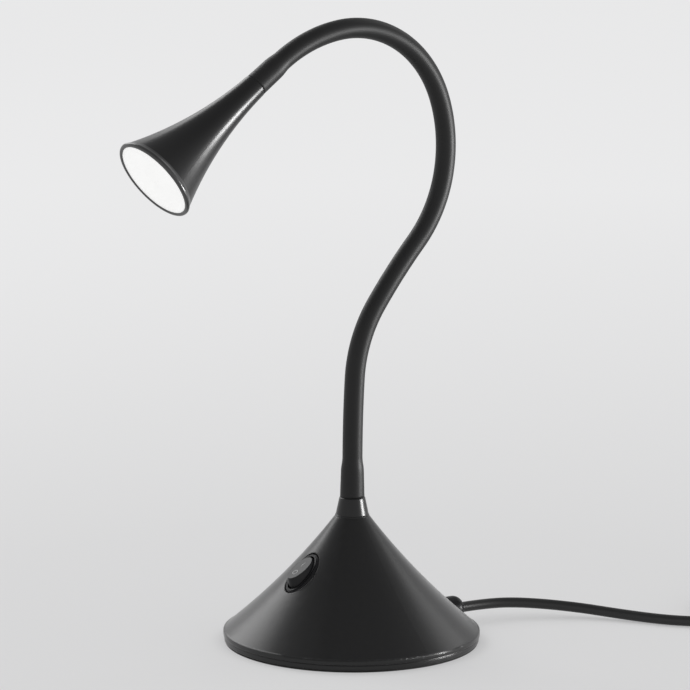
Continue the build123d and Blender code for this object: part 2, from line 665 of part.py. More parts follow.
with BuildPart() as lens_ring:
    with BuildSketch(side_of(HEAD)):
        with BuildLine():
            Line((RING_BORE, SPIGOT_BACK), (RING_SPIGOT_RADIUS, SPIGOT_BACK))
            Line((RING_SPIGOT_RADIUS, SPIGOT_BACK), (RING_SPIGOT_RADIUS, MOUTH))
            Line((RING_SPIGOT_RADIUS, MOUTH), (MOUTH_RADIUS, MOUTH))
            # the flare turns out into a rounded lip
            ThreePointArc(
                (MOUTH_RADIUS, MOUTH),
                (MOUTH_RADIUS + 0.6, MOUTH + 1.2),
                (RING_RADIUS - 0.3, RING_FRONT - 2.3),
            )
            ThreePointArc(
                (RING_RADIUS - 0.3, RING_FRONT - 2.3),
                (RING_RADIUS, RING_FRONT - 1.2),
                (RING_RADIUS - 1.1, RING_FRONT),
            )
            Polyline(
                (RING_RADIUS - 1.1, RING_FRONT),
                (WINDOW_RADIUS + 0.4, RING_FRONT - 0.1),
                (WINDOW_RADIUS, RING_FRONT - 0.5),
                (WINDOW_RADIUS, DIFFUSER_BACK + DIFFUSER_THICKNESS),
                (DIFFUSER_RADIUS + FIT_GAP, DIFFUSER_BACK + DIFFUSER_THICKNESS),
                (DIFFUSER_RADIUS + FIT_GAP, DIFFUSER_BACK),
                (RING_BORE, DIFFUSER_BACK),
                (RING_BORE, SPIGOT_BACK),
            )
        make_face()
    revolve(axis=axis_of(HEAD))
write(lens_ring, "lens_ring")

with BuildPart() as diffuser:
    with BuildSketch(side_of(HEAD)):
        with BuildLine():
            front = DIFFUSER_BACK + DIFFUSER_THICKNESS
            Line((0, DIFFUSER_BACK), (DIFFUSER_RADIUS, DIFFUSER_BACK))
            Line((DIFFUSER_RADIUS, DIFFUSER_BACK), (DIFFUSER_RADIUS, front - THREAD_GAP))
            Line((DIFFUSER_RADIUS, front - THREAD_GAP), (WINDOW_RADIUS - FIT_GAP, front - THREAD_GAP))
            Line((WINDOW_RADIUS - FIT_GAP, front - THREAD_GAP), (0, front + DIFFUSER_CROWN))
            Line((0, front + DIFFUSER_CROWN), (0, DIFFUSER_BACK))
        make_face()
    revolve(axis=axis_of(HEAD))
write(diffuser, "diffuser")

LED_BOARD_FRONT = LED_BOARD_BACK + BOARD_THICKNESS

with BuildPart() as led_board:
    with BuildSketch(HEAD.offset(LED_BOARD_BACK)):
        Circle(LED_BOARD_RADIUS)
    extrude(amount=BOARD_THICKNESS)
write(led_board, "led_board")

with BuildPart() as led_chips:
    with BuildSketch(HEAD.offset(LED_BOARD_FRONT)):
        with PolarLocations(LED_CIRCLE, LED_COUNT):
            Rectangle(LED_SIZE, LED_SIZE)
    extrude(amount=LED_HEIGHT)
write(led_chips, "led_chips")

reflector = turned(
    HEAD,
    (REFLECTOR_FLOOR_RADIUS - REFLECTOR_WALL, LED_BOARD_FRONT),
    (REFLECTOR_FLOOR_RADIUS, LED_BOARD_FRONT),
    (REFLECTOR_MOUTH_RADIUS, DIFFUSER_BACK - FIT_GAP),
    (REFLECTOR_MOUTH_RADIUS - REFLECTOR_WALL, DIFFUSER_BACK - FIT_GAP),
)
write(reflector, "reflector")

with BuildPart() as heat_sink:
    with BuildSketch(HEAD.offset(LED_BOARD_BACK - SINK_LENGTH)):
        Circle(SINK_CORE_RADIUS)
        with PolarLocations(SINK_CORE_RADIUS - 1, SINK_FIN_COUNT):
            Rectangle(
                SINK_FIN_RADIUS - SINK_CORE_RADIUS + 1,
                SINK_FIN_THICKNESS,
                align=(Align.MIN, Align.CENTER),
            )
    extrude(amount=SINK_LENGTH)
    with BuildSketch(HEAD.offset(LED_BOARD_BACK - SINK_FLANGE_THICKNESS)):
        Circle(LED_BOARD_RADIUS + 0.5)
    extrude(amount=SINK_FLANGE_THICKNESS)
    with BuildSketch(HEAD.offset(LED_BOARD_BACK - SINK_LENGTH)):
        Circle(LEAD_RADIUS + RUNNING_GAP)
    extrude(amount=SINK_LENGTH, mode=Mode.SUBTRACT)
write(heat_sink, "heat_sink")

# ------------------------------------------------------------------ switch
FLOOR_DEPTH = SWITCH_DEPTH - SWITCH_FLOOR
PIVOT = SWITCH.offset(-ROCKER_PIVOT_DEPTH)
# the lamp is on: the upper end of the rocker is pressed in and the lower end stands out
ROCKER = PIVOT.rotated((-ROCKER_ANGLE, 0, 0))
LEVER = SWITCH.offset(-LEVER_PIVOT_DEPTH).rotated((LEVER_ANGLE, 0, 0))
SWITCH_ACROSS = Plane(PIVOT.origin, x_dir=-PIVOT.z_dir, z_dir=PIVOT.x_dir)

with BuildPart() as switch_body:
    with BuildSketch(SWITCH.offset(-RECESS_DEPTH)):
        Ellipse(RECESS[0] - RUNNING_GAP, RECESS[1] - RUNNING_GAP)
    extrude(amount=RECESS_DEPTH)
    chamfer(switch_body.faces().sort_by(axis_of(SWITCH))[-1].edges(), length=BEZEL_EDGE)
    with BuildSketch(SWITCH.offset(-SWITCH_DEPTH)):
        Ellipse(*SWITCH_BODY)
    extrude(amount=SWITCH_DEPTH + BEZEL_LIP)
    with BuildSketch(SWITCH.offset(-FLOOR_DEPTH)):
        Ellipse(*OPENING)
    extrude(amount=SWITCH_DEPTH + BEZEL_LIP, mode=Mode.SUBTRACT)
    # holes for the rocker's pins
    with BuildSketch(SWITCH_ACROSS):
        Circle(PIN_RADIUS + THREAD_GAP)
    extrude(amount=SWITCH_BODY[0] + 1, both=True, mode=Mode.SUBTRACT)
    # slots for the two tabs
    with BuildSketch(SWITCH.offset(-SWITCH_DEPTH)):
        for along in (0, -TAB_SPACING):
            with Locations((0, along)):
                Rectangle(TAB_WIDTH + FIT_GAP, TAB_THICKNESS + FIT_GAP)
    extrude(amount=SWITCH_FLOOR, mode=Mode.SUBTRACT)
write(switch_body, "switch_body")

with BuildPart() as rocker:
    # turned about its pins, so that it fills the opening at every angle
    with BuildSketch(Plane(PIVOT.origin, x_dir=PIVOT.x_dir, z_dir=PIVOT.z_dir)):
        Ellipse(ROCKER_HALF_WIDTH, ROCKER_RADIUS)
        with Locations((0, -ROCKER_RADIUS)):
            Rectangle(4 * ROCKER_HALF_WIDTH, 2 * ROCKER_RADIUS, mode=Mode.SUBTRACT)
    revolve(axis=Axis(PIVOT.origin, PIVOT.x_dir))
    split(bisect_by=ROCKER.offset(ROCKER_FACE), keep=Keep.BOTTOM)
    split(bisect_by=ROCKER.offset(-ROCKER_BELLY), keep=Keep.TOP)
    with BuildSketch(SWITCH_ACROSS):
        Circle(PIN_RADIUS)
    extrude(amount=SWITCH_BODY[0], both=True)
write(rocker, "rocker")

with BuildPart() as rocker_plunger:
    with BuildSketch(ROCKER.offset(-PLUNGER_REACH)):
        Circle(PLUNGER_RADIUS)
    extrude(amount=PLUNGER_REACH - ROCKER_BELLY)
    fillet(rocker_plunger.faces().sort_by(axis_of(ROCKER))[0].edges(), radius=PLUNGER_RADIUS * 0.8)
write(rocker_plunger, "rocker_plunger")

with BuildPart() as contact_lever:
    with BuildSketch(LEVER.offset(-LEVER_THICKNESS / 2)):
        Rectangle(LEVER_WIDTH, 2 * LEVER_HALF_LENGTH)
    extrude(amount=LEVER_THICKNESS)
    with BuildSketch(Plane(LEVER.origin, x_dir=-LEVER.z_dir, z_dir=LEVER.x_dir)):
        Circle(PIN_RADIUS)
    extrude(amount=LEVER_WIDTH / 2 + 0.8, both=True)
    with BuildSketch(LEVER.offset(-LEVER_THICKNESS / 2)):
        with Locations((0, -TAB_SPACING)):
            Circle(PLUNGER_RADIUS)
    extrude(amount=-0.6)
write(contact_lever, "contact_lever")

CONTACT_DEPTH = LEVER_PIVOT_DEPTH + 1 + TAB_SPACING * math.sin(math.radians(LEVER_ANGLE))
YOKE_TOP = LEVER_PIVOT_DEPTH + PIN_RADIUS + RUNNING_GAP
with BuildPart() as switch_terminals:
    with BuildSketch(SWITCH.offset(-SWITCH_DEPTH - TAB_LENGTH)):
        for along in (0, -TAB_SPACING):
            with Locations((0, along)):
                Rectangle(TAB_WIDTH, TAB_THICKNESS)
    extrude(amount=TAB_LENGTH + SWITCH_FLOOR + RUNNING_GAP)
    with BuildSketch(SWITCH.offset(-FLOOR_DEPTH)):
        Rectangle(TAB_WIDTH, TAB_THICKNESS)
    extrude(amount=FLOOR_DEPTH - YOKE_TOP)
    with BuildSketch(SWITCH.offset(-FLOOR_DEPTH)):
        with Locations((0, -TAB_SPACING)):
            Rectangle(TAB_WIDTH, 2 * TAB_THICKNESS)
    extrude(amount=FLOOR_DEPTH - CONTACT_DEPTH - RUNNING_GAP - 0.6)
write(switch_terminals, "switch_terminals")

# ------------------------------------------------------------------ driver
with BuildPart() as driver_tray:
    with BuildSketch(BASE.offset(WEIGHT_TOP)):
        with Locations((0, BOARD_MIDDLE)):
            RectangleRounded(TRAY[0], TRAY[1], 3)
    extrude(amount=TRAY[2])
    with BuildSketch(BASE.offset(TRAY_TOP)):
        with Locations((0, BOARD_MIDDLE)):
            with GridLocations(BOARD[0] - 3 * POST_RADIUS, BOARD[1] - 3 * POST_RADIUS, 2, 2):
                Circle(POST_RADIUS)
    extrude(amount=POST_HEIGHT)
write(driver_tray, "driver_tray")

with BuildPart() as driver_board:
    with BuildSketch(BASE.offset(BOARD_UNDERSIDE)):
        with Locations((0, BOARD_MIDDLE)):
            Rectangle(*BOARD)
    extrude(amount=BOARD_THICKNESS)
write(driver_board, "driver_board")

with BuildPart() as terminal_block:
    with BuildSketch(BASE.offset(BOARD_TOP)):
        Rectangle(BLOCK[0], BLOCK[1])
    extrude(amount=BLOCK[2])
    chamfer(terminal_block.edges().filter_by(Axis.Z), length=1)
write(terminal_block, "terminal_block")

with BuildPart() as driver_transformer:
    with BuildSketch(BASE.offset(BOARD_TOP)):
        with Locations((CORE_MIDDLE, PART_ROW)):
            Rectangle(CORE[0], CORE[1])
    extrude(amount=CORE[2])
    with BuildSketch(BASE.offset(BOARD_TOP)):
        with Locations((CORE_MIDDLE, PART_ROW)):
            Rectangle(BOBBIN[0], BOBBIN[1])
    extrude(amount=BOBBIN[2])
write(driver_transformer, "driver_transformer")

with BuildPart() as driver_capacitors:
    for (across, along), radius, height in CAPACITORS:
        with BuildSketch(BASE.offset(BOARD_TOP)):
            with Locations((across, PART_ROW + along)):
                Circle(radius)
        extrude(amount=height)
write(driver_capacitors, "driver_capacitors")


def wire(points, radius, bend):
    """A thin wire along straight runs with rounded corners, tighter where a run is short."""
    shortest = min((Vector(b) - Vector(a)).length for a, b in zip(points, points[1:]))
    with BuildPart() as run:
        with BuildLine() as line:
            FilletPolyline(*points, radius=min(bend, 0.4 * shortest))
        with BuildSketch(Plane(line.line @ 0, z_dir=line.line % 0)):
            Circle(radius)
        sweep(path=line.line)
    return run.part


def switch_point(x, y, z):
    """A point in the switch's own frame."""
    return SWITCH.from_local_coords(Vector(x, y, z))


with BuildPart() as switch_leads:
    for along, side in ((0, 1), (-TAB_SPACING, -1)):
        tab_end = -SWITCH_DEPTH - TAB_LENGTH
        end_height = BOARD_TOP + 3 + 2 * side
        add(
            wire(
                (
                    switch_point(0, along, tab_end),
                    switch_point(0, along, tab_end - 4),
                    base_point(4 * side, -BLOCK[1] / 2 - 5, end_height),
                    base_point(4 * side, -BLOCK[1] / 2, end_height),
                ),
                WIRE_RADIUS,
                1.6,
            )
        )
write(switch_leads, "switch_leads")

# ------------------------------------------------------------------ cord: bush and inner end
bush_stem = turned(
    BACK,
    (CORD_RADIUS + THREAD_GAP, BUSH_INNER_END),
    (BUSH_RADIUS, BUSH_INNER_END),
    (BUSH_RADIUS, BUSH_HEAD_BACK),
    (CORD_RADIUS + THREAD_GAP, BUSH_HEAD_BACK),
)

with BuildPart() as cord_bush:
    with BuildSketch(side_of(BACK)):
        with BuildLine():
            Polyline(
                (BUSH_TIP_RADIUS, BUSH_MOUTH),
                (CORD_RADIUS + THREAD_GAP, BUSH_MOUTH),
                (CORD_RADIUS + THREAD_GAP, BUSH_HEAD_BACK),
                (BUSH_HEAD_RADIUS, BUSH_HEAD_BACK),
                (BUSH_HEAD_RADIUS, BUSH_MOUTH - BUSH_ROUND_LENGTH),
            )
            Spline(
                (BUSH_HEAD_RADIUS, BUSH_MOUTH - BUSH_ROUND_LENGTH),
                (BUSH_TIP_RADIUS, BUSH_MOUTH),
                tangents=((0, 1), (-1, 0.7)),
            )
        make_face()
    revolve(axis=axis_of(BACK))
    split(bisect_by=up_the_axis(BUSH_FLAT_HEIGHT), keep=Keep.TOP)
    add(bush_stem.part)
write(cord_bush, "cord_bush")

with BuildPart() as mains_tail:
    with BuildSketch(BACK.offset(JACKET_END)):
        Circle(CORD_RADIUS)
    extrude(amount=BUSH_MOUTH - JACKET_END)
    for side in (1, -1):
        pad_y = BOARD_MIDDLE + BOARD[1] / 2 - 4
        add(
            wire(
                (
                    base_point(1.3 * side, JACKET_END, CORD_HEIGHT),
                    base_point(1.3 * side, JACKET_END - WIRE_DROP, CORD_HEIGHT),
                    base_point(WIRE_SPREAD * side, pad_y + WIRE_LANDING, BOARD_TOP + WIRE_CLIMB),
                    base_point(WIRE_SPREAD * side, pad_y, BOARD_TOP + WIRE_CLIMB),
                    base_point(WIRE_SPREAD * side, pad_y, BOARD_TOP),
                ),
                WIRE_RADIUS,
                1.8,
            )
        )
write(mains_tail, "mains_tail")

# ------------------------------------------------------------------ cord: free length
CORD_DIAMETER = 2 * CORD_RADIUS
COIL_OUTER_RADIUS = COIL_MIDDLE_RADIUS + (COIL_COLUMNS - 1) / 2 * CORD_DIAMETER
COIL_TOP_LAYER = CORD_RADIUS + (COIL_LAYERS - 1) * CORD_DIAMETER


def on_coil(degrees, height):
    """A point on the middle of the coil's outermost turn."""
    angle = math.radians(degrees)
    return (
        COIL_MIDDLE[0] + COIL_OUTER_RADIUS * math.cos(angle),
        COIL_MIDDLE[1] + COIL_OUTER_RADIUS * math.sin(angle),
        height,
    )


CORD_ROUTE = [
    tuple(base_point(0, BUSH_MOUTH, CORD_HEIGHT)),
    tuple(base_point(0, BUSH_MOUTH + CORD_STRAIGHT, CORD_HEIGHT)),
    (14.0, 121.0, 8.8),
    (33.0, 147.0, 6.0),
    (60.0, 165.5, 3.7),
    (84.0, 179.5, CORD_RADIUS),
    (100.2, 195.1, CORD_RADIUS),
    (116.5, 211.5, CORD_RADIUS),
    on_coil(COIL_JOINED_AT, CORD_RADIUS),
]
TAIL_ROUTE = [
    on_coil(COIL_LEFT_AT, COIL_TOP_LAYER),
    (PLUG_REAR_X + TAIL_STRAIGHT, PLUG_MIDDLE_Y, PLUG_THICKNESS / 2),
    (PLUG_REAR_X, PLUG_MIDDLE_Y, PLUG_THICKNESS / 2),
]


def cord_tube(places):
    """Straight runs joined by arcs as large as each pair of runs allows."""
    points = [Vector(*p) for p in places]
    radii = []
    for before, here, after in zip(points, points[1:], points[2:]):
        turn = (here - before).get_angle(after - here)
        shorter = min((here - before).length, (after - here).length)
        radii.append(0.45 * shorter / math.tan(math.radians(turn) / 2))
    print("cord radii", [round(r) for r in radii])
    with BuildPart() as tube:
        with BuildLine():
            route = FilletPolyline(*points, radius=radii)
        with BuildSketch(Plane(route @ 0, z_dir=route % 0)):
            Circle(CORD_RADIUS)
        sweep(path=route)
    expected = math.pi * CORD_RADIUS**2 * route.length
    print("cord length", round(route.length, 1), "volume share", tube.part.volume / expected)
    return tube.part


with BuildPart() as cord:
    add(cord_tube(CORD_ROUTE))
    add(cord_tube(TAIL_ROUTE))
write(cord, "cord")

with BuildPart() as cord_coil:
    with BuildSketch(Plane((*COIL_MIDDLE, 0), x_dir=(1, 0, 0), z_dir=(0, -1, 0))):
        with Locations((COIL_MIDDLE_RADIUS, COIL_LAYERS * CORD_RADIUS)):
            RectangleRounded(
                COIL_COLUMNS * CORD_DIAMETER, COIL_LAYERS * CORD_DIAMETER, CORD_RADIUS * 0.98
            )
    revolve(axis=Axis((*COIL_MIDDLE, 0), (0, 0, 1)))
write(cord_coil, "cord_coil")

# ------------------------------------------------------------------ plug
PLUG = Plane(
    (PLUG_REAR_X, PLUG_MIDDLE_Y, PLUG_THICKNESS / 2), x_dir=(0, 1, 0), z_dir=(-1, 0, 0)
)
PLUG_FRONT = RELIEF_LENGTH + PLUG_LENGTH

with BuildPart() as plug_body:
    with BuildSketch(Plane((PLUG_REAR_X, PLUG_MIDDLE_Y, 0), x_dir=(-1, 0, 0), z_dir=(0, 0, 1))):
        with BuildLine():
            Polyline(
                (RELIEF_LENGTH, -PLUG_WAIST / 2),
                (RELIEF_LENGTH + 0.35 * PLUG_LENGTH, -PLUG_WAIST / 2 - 1),
                (RELIEF_LENGTH + 0.75 * PLUG_LENGTH, -PLUG_WIDTH / 2),
                (PLUG_FRONT, -PLUG_WIDTH / 2),
                (PLUG_FRONT, PLUG_WIDTH / 2),
                (RELIEF_LENGTH + 0.75 * PLUG_LENGTH, PLUG_WIDTH / 2),
                (RELIEF_LENGTH + 0.35 * PLUG_LENGTH, PLUG_WAIST / 2 + 1),
                (RELIEF_LENGTH, PLUG_WAIST / 2),
                close=True,
            )
        make_face()
    extrude(amount=PLUG_THICKNESS)
    fillet(plug_body.edges().filter_by(Axis.Z), radius=3)
    fillet(plug_body.faces().filter_by(Axis.Z).edges(), radius=2)
    # tapered relief behind the grip
    with BuildSketch(side_of(PLUG)):
        with BuildLine():
            Polyline(
                (0, 0),
                (CORD_RADIUS + 0.7, 0),
                (RELIEF_RADIUS, RELIEF_LENGTH),
                (RELIEF_RADIUS, RELIEF_LENGTH + 4),
                (0, RELIEF_LENGTH + 4),
                close=True,
            )
        make_face()
    revolve(axis=axis_of(PLUG))
    # sockets in which the pins are moulded
    with BuildSketch(PLUG.offset(PLUG_FRONT - PLUG_SEAT)):
        with GridLocations(PLUG_PIN_SPACING, 0, 2, 1):
            Circle(PLUG_STEM_RADIUS)
    extrude(amount=PLUG_SEAT, mode=Mode.SUBTRACT)
write(plug_body, "plug_body")

with BuildPart() as plug_pins:
    with BuildSketch(PLUG.offset(PLUG_FRONT)):
        with GridLocations(PLUG_PIN_SPACING, 0, 2, 1):
            Circle(PLUG_PIN_RADIUS)
    extrude(amount=PLUG_PIN_LENGTH)
    ends = plug_pins.faces().filter_by(Axis.X).group_by(Axis.X)[0]
    chamfer(ends.edges(), length=PLUG_PIN_CHAMFER)
    with BuildSketch(PLUG.offset(PLUG_FRONT - PLUG_SEAT)):
        with GridLocations(PLUG_PIN_SPACING, 0, 2, 1):
            Circle(PLUG_STEM_RADIUS)
    extrude(amount=PLUG_SEAT)
write(plug_pins, "plug_pins")
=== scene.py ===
# %% [markdown]
# # Dressing a gooseneck desk lamp
# The lamp has a weighted cone for a base, a neck that bends and stays bent, a small trumpet of a
# head with an opal window, and a black mains cord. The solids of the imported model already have
# the right shapes and places, so they are loaded first and act as the frame for everything else.
# This script adds what solids can't carry: finishes, a neck without seams, a cord that lies as a
# cord does, the small marks on the switch, and the light.

# %% Load the solids
import json
import math

import bmesh
import bpy
from mathutils import Matrix, Vector


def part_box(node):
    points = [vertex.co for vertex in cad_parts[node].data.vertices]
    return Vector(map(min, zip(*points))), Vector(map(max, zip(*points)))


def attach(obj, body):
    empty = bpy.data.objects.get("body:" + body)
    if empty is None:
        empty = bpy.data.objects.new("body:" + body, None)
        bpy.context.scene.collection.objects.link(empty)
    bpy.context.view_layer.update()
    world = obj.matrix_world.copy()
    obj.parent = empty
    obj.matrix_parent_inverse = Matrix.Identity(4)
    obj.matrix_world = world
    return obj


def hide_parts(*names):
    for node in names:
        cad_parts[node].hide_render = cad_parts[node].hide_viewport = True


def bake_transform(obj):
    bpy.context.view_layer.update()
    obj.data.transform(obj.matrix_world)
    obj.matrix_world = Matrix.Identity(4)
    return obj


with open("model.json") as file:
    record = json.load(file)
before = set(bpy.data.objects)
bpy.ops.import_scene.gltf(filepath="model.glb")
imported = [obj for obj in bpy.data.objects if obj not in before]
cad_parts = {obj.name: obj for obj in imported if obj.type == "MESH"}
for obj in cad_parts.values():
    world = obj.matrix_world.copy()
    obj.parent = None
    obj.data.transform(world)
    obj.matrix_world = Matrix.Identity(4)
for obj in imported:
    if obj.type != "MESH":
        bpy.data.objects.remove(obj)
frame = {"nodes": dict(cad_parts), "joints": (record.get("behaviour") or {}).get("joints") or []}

MM = 0.001
scene = bpy.context.scene
nodes = frame["nodes"]
joints = {joint["name"]: joint for joint in frame["joints"]}
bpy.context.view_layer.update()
print("solids:", len(nodes), "joints:", len(joints))

# %% [markdown]
# ## The camera
# A long lens a couple of metres away keeps the cone and the head in calm proportion. The camera
# stands to the right of the lamp's face and a little above it, and looks slightly down. Its place
# is given as a distance, a height and an angle round the lamp, because those are the numbers that
# a photographer would measure. No lens shift is used, so every other angle works as well.

# %% Place the camera
FRAME_PIXELS = 690
FOCAL_PIXELS = 4100
CAMERA_DISTANCE = 2411.5 * MM
CAMERA_HEIGHT = 629.1 * MM
CAMERA_ASIDE = -4.8 * MM
CAMERA_AZIMUTH = math.radians(53.5)
CAMERA_PITCH = math.radians(10.51)
CAMERA_ROLL = math.radians(0.268)

camera_data = bpy.data.cameras.new("view")
camera_data.sensor_width = 36
camera_data.lens = camera_data.sensor_width * FOCAL_PIXELS / FRAME_PIXELS
camera_data.clip_start = 0.05
camera_data.clip_end = 100
camera = bpy.data.objects.new("view", camera_data)
scene.collection.objects.link(camera)
turn = Matrix.Rotation(CAMERA_AZIMUTH, 4, "Z")
place = turn @ Vector((CAMERA_ASIDE, -CAMERA_DISTANCE, CAMERA_HEIGHT))
tilt = Matrix.Rotation(math.pi / 2 - CAMERA_PITCH, 4, "X")
roll = Matrix.Rotation(CAMERA_ROLL, 4, "Z")
camera.matrix_world = Matrix.Translation(place) @ turn @ tilt @ roll
scene.camera = camera
print("lens", round(camera_data.lens, 1), "mm")

# %% [markdown]
# ## Small tools for materials
# Every finish here is a Principled shader with a few procedural textures in front of it. These
# helpers only save typing: they add a node, a sum, a noise or a ramp of colours, start a material,
# and give a material to a piece. A value that is the same all over a surface is typed into the
# shader's own socket, since that is the only kind of constant that other programs read back.

# %% Helpers for node trees
def add_node(tree, kind, **inputs):
    """Adds a shader node and sets its unlinked inputs by name."""
    node = tree.nodes.new(kind)
    for name, value in inputs.items():
        node.inputs[name.replace("_", " ")].default_value = value
    return node


def combine(tree, operation, *values):
    """The result of a Math node. Each value is a socket to link or a number to set."""
    node = tree.nodes.new("ShaderNodeMath")
    node.operation = operation
    for socket, value in zip(node.inputs, values):
        if isinstance(value, bpy.types.NodeSocket):
            tree.links.new(value, socket)
        else:
            socket.default_value = value
    return node.outputs[0]


def noise(tree, **inputs):
    """A noise texture that sticks to the object."""
    texture = add_node(tree, "ShaderNodeTexNoise", **inputs)
    place = tree.nodes.new("ShaderNodeTexCoord")
    tree.links.new(place.outputs["Object"], texture.inputs["Vector"])
    return texture


def ramp(tree, factor, low_colour, high_colour, positions=(0.0, 1.0)):
    """The colour between two colours, by a factor socket."""
    node = tree.nodes.new("ShaderNodeValToRGB")
    ends = zip(node.color_ramp.elements, (low_colour, high_colour), positions)
    for element, colour, position in ends:
        element.color = (*colour, 1)
        element.position = position
    tree.links.new(factor, node.inputs["Fac"])
    return node.outputs["Color"]


def start_material(name, **settings):
    """A new material with a Principled shader, and that shader."""
    material = bpy.data.materials.new(name)
    material.use_nodes = True
    shader = material.node_tree.nodes["Principled BSDF"]
    for socket, value in settings.items():
        shader.inputs[socket.replace("_", " ")].default_value = value
    return material, shader


def dress(material, *pieces):
    """Gives each piece or solid this one material."""
    for piece in pieces:
        piece = nodes[piece] if isinstance(piece, str) else piece
        piece.data.materials.clear()
        piece.data.materials.append(material)


# %% [markdown]
# ## Surface grain, built once
# Powder coat, soft sleeve and moulded plastic all have a fine grain, and differ only in its size
# and depth. So the grain is one node group. It puts out a height for a Bump node, and a roughness
# that wanders a little, because an even roughness is what makes a rendered surface look like one.

# %% Node group: grain
def new_group(name, inputs, outputs):
    """An empty shader node group with its sockets made."""
    group = bpy.data.node_groups.new(name, "ShaderNodeTree")
    for socket, kind, value in inputs:
        made = group.interface.new_socket(socket, in_out="INPUT", socket_type=kind)
        made.default_value = value
    for socket, kind in outputs:
        group.interface.new_socket(socket, in_out="OUTPUT", socket_type=kind)
    return group, group.nodes.new("NodeGroupInput"), group.nodes.new("NodeGroupOutput")


def build_grain():
    """Fine grain for the bump, and a roughness that drifts in broad patches."""
    group, given, result = new_group(
        "Grain",
        [
            ("Scale", "NodeSocketFloat", 1500.0),
            ("Roughness", "NodeSocketFloat", 0.5),
            ("Wander", "NodeSocketFloat", 0.05),
        ],
        [("Height", "NodeSocketFloat"), ("Roughness", "NodeSocketFloat")],
    )
    fine = noise(group, Detail=3.0, Roughness=0.6)
    group.links.new(given.outputs["Scale"], fine.inputs["Scale"])
    group.links.new(fine.outputs["Fac"], result.inputs["Height"])
    broad = noise(group, Scale=38.0, Detail=4.0, Roughness=0.55)
    centred = combine(group, "SUBTRACT", broad.outputs["Fac"], 0.5)
    wander, roughness = given.outputs["Wander"], given.outputs["Roughness"]
    drift = combine(group, "MULTIPLY_ADD", centred, wander, roughness)
    group.links.new(drift, result.inputs["Roughness"])
    return group


GRAIN = build_grain()

# %% [markdown]
# ## Dust, built once
# Black surfaces show dust first: it settles where a surface faces up, here in patches. Handling
# leaves slightly paler, greyer patches too, but only the dust on upward faces is made. It is
# weak, a few percent, but without it black looks like a hole in the picture.

# %% Node group: dust
def build_dust():
    """A clean colour with a little dust over it, in patches and only where a face looks up."""
    group, given, result = new_group(
        "Dust",
        [
            ("Clean", "NodeSocketColor", (0.01, 0.01, 0.01, 1)),
            ("Dust", "NodeSocketColor", (0.12, 0.12, 0.12, 1)),
            ("Amount", "NodeSocketFloat", 0.1),
        ],
        [("Color", "NodeSocketColor")],
    )
    link = group.links.new
    facing = add_node(group, "ShaderNodeNewGeometry")
    split = add_node(group, "ShaderNodeSeparateXYZ")
    link(facing.outputs["Normal"], split.inputs[0])
    upward = add_node(group, "ShaderNodeMapRange", From_Min=-0.2, From_Max=1.0)
    link(split.outputs["Z"], upward.inputs["Value"])
    specks = noise(group, Scale=260.0, Detail=6.0, Roughness=0.7)
    patches = add_node(group, "ShaderNodeMapRange", From_Min=0.42, From_Max=0.78)
    link(specks.outputs["Fac"], patches.inputs["Value"])
    settled = combine(group, "MULTIPLY", upward.outputs[0], patches.outputs[0])
    share = combine(group, "MULTIPLY", settled, given.outputs["Amount"])
    mix = add_node(group, "ShaderNodeMix")
    mix.data_type = "RGBA"
    link(share, mix.inputs["Factor"])
    link(given.outputs["Clean"], mix.inputs[6])
    link(given.outputs["Dust"], mix.inputs[7])
    link(mix.outputs[2], result.inputs["Color"])
    return group


DUST = build_dust()
print("groups:", [group.name for group in bpy.data.node_groups])


def grained(name, colour, roughness, scale, depth, wander=0.08, dust=0.1, **settings):
    """A material whose colour, roughness and bump come from the two groups."""
    material, shader = start_material(name, **settings)
    tree = material.node_tree
    grain = tree.nodes.new("ShaderNodeGroup")
    grain.node_tree = GRAIN
    grain.inputs["Scale"].default_value = scale
    grain.inputs["Roughness"].default_value = roughness
    grain.inputs["Wander"].default_value = wander
    tree.links.new(grain.outputs["Roughness"], shader.inputs["Roughness"])
    bump = add_node(tree, "ShaderNodeBump", Strength=0.6, Distance=depth)
    tree.links.new(grain.outputs["Height"], bump.inputs["Height"])
    tree.links.new(bump.outputs["Normal"], shader.inputs["Normal"])
    powder = tree.nodes.new("ShaderNodeGroup")
    powder.node_tree = DUST
    powder.inputs["Clean"].default_value = (*colour, 1)
    powder.inputs["Dust"].default_value = (*(c * 0.6 + 0.1 for c in colour), 1)
    powder.inputs["Amount"].default_value = dust
    tree.links.new(powder.outputs["Color"], shader.inputs["Base Color"])
    return material


# %% [markdown]
# ## The black finishes
# The cone is powder coated: satin, with a very fine texture that spreads every highlight wide,
# and thick enough to round the edge of the rim a little. The head and the collar are sprayed with
# a smoother, glossier paint, so their highlights are narrow and bright, and the lip round the
# window is the shiniest. The sleeve of the neck is soft and matt. The switch, the bush and the
# cord are moulded, each with its own shine.

# %% Black finishes
satin_coat = grained(
    "satin_coat",
    (0.003, 0.003, 0.0032),
    roughness=0.3,
    scale=2600.0,
    depth=0.00002,
    wander=0.05,
    dust=0.03,
    Specular_IOR_Level=0.5,
    Sheen_Weight=0.5,
    Sheen_Roughness=0.2,
)
gloss_coat = grained(
    "gloss_coat",
    (0.006, 0.006, 0.0063),
    roughness=0.31,
    scale=1800.0,
    depth=0.000002,
    wander=0.04,
    dust=0.02,
    Specular_IOR_Level=0.4,
)
lip_coat = grained(
    "lip_coat",
    (0.006, 0.006, 0.0063),
    roughness=0.3,
    scale=1800.0,
    depth=0.000002,
    wander=0.04,
    dust=0.02,
    Specular_IOR_Level=1.0,
)
soft_sleeve = grained(
    "soft_sleeve",
    (0.012, 0.012, 0.0122),
    roughness=0.48,
    scale=2200.0,
    depth=0.00005,
    wander=0.08,
    dust=0.05,
    Specular_IOR_Level=0.3,
)
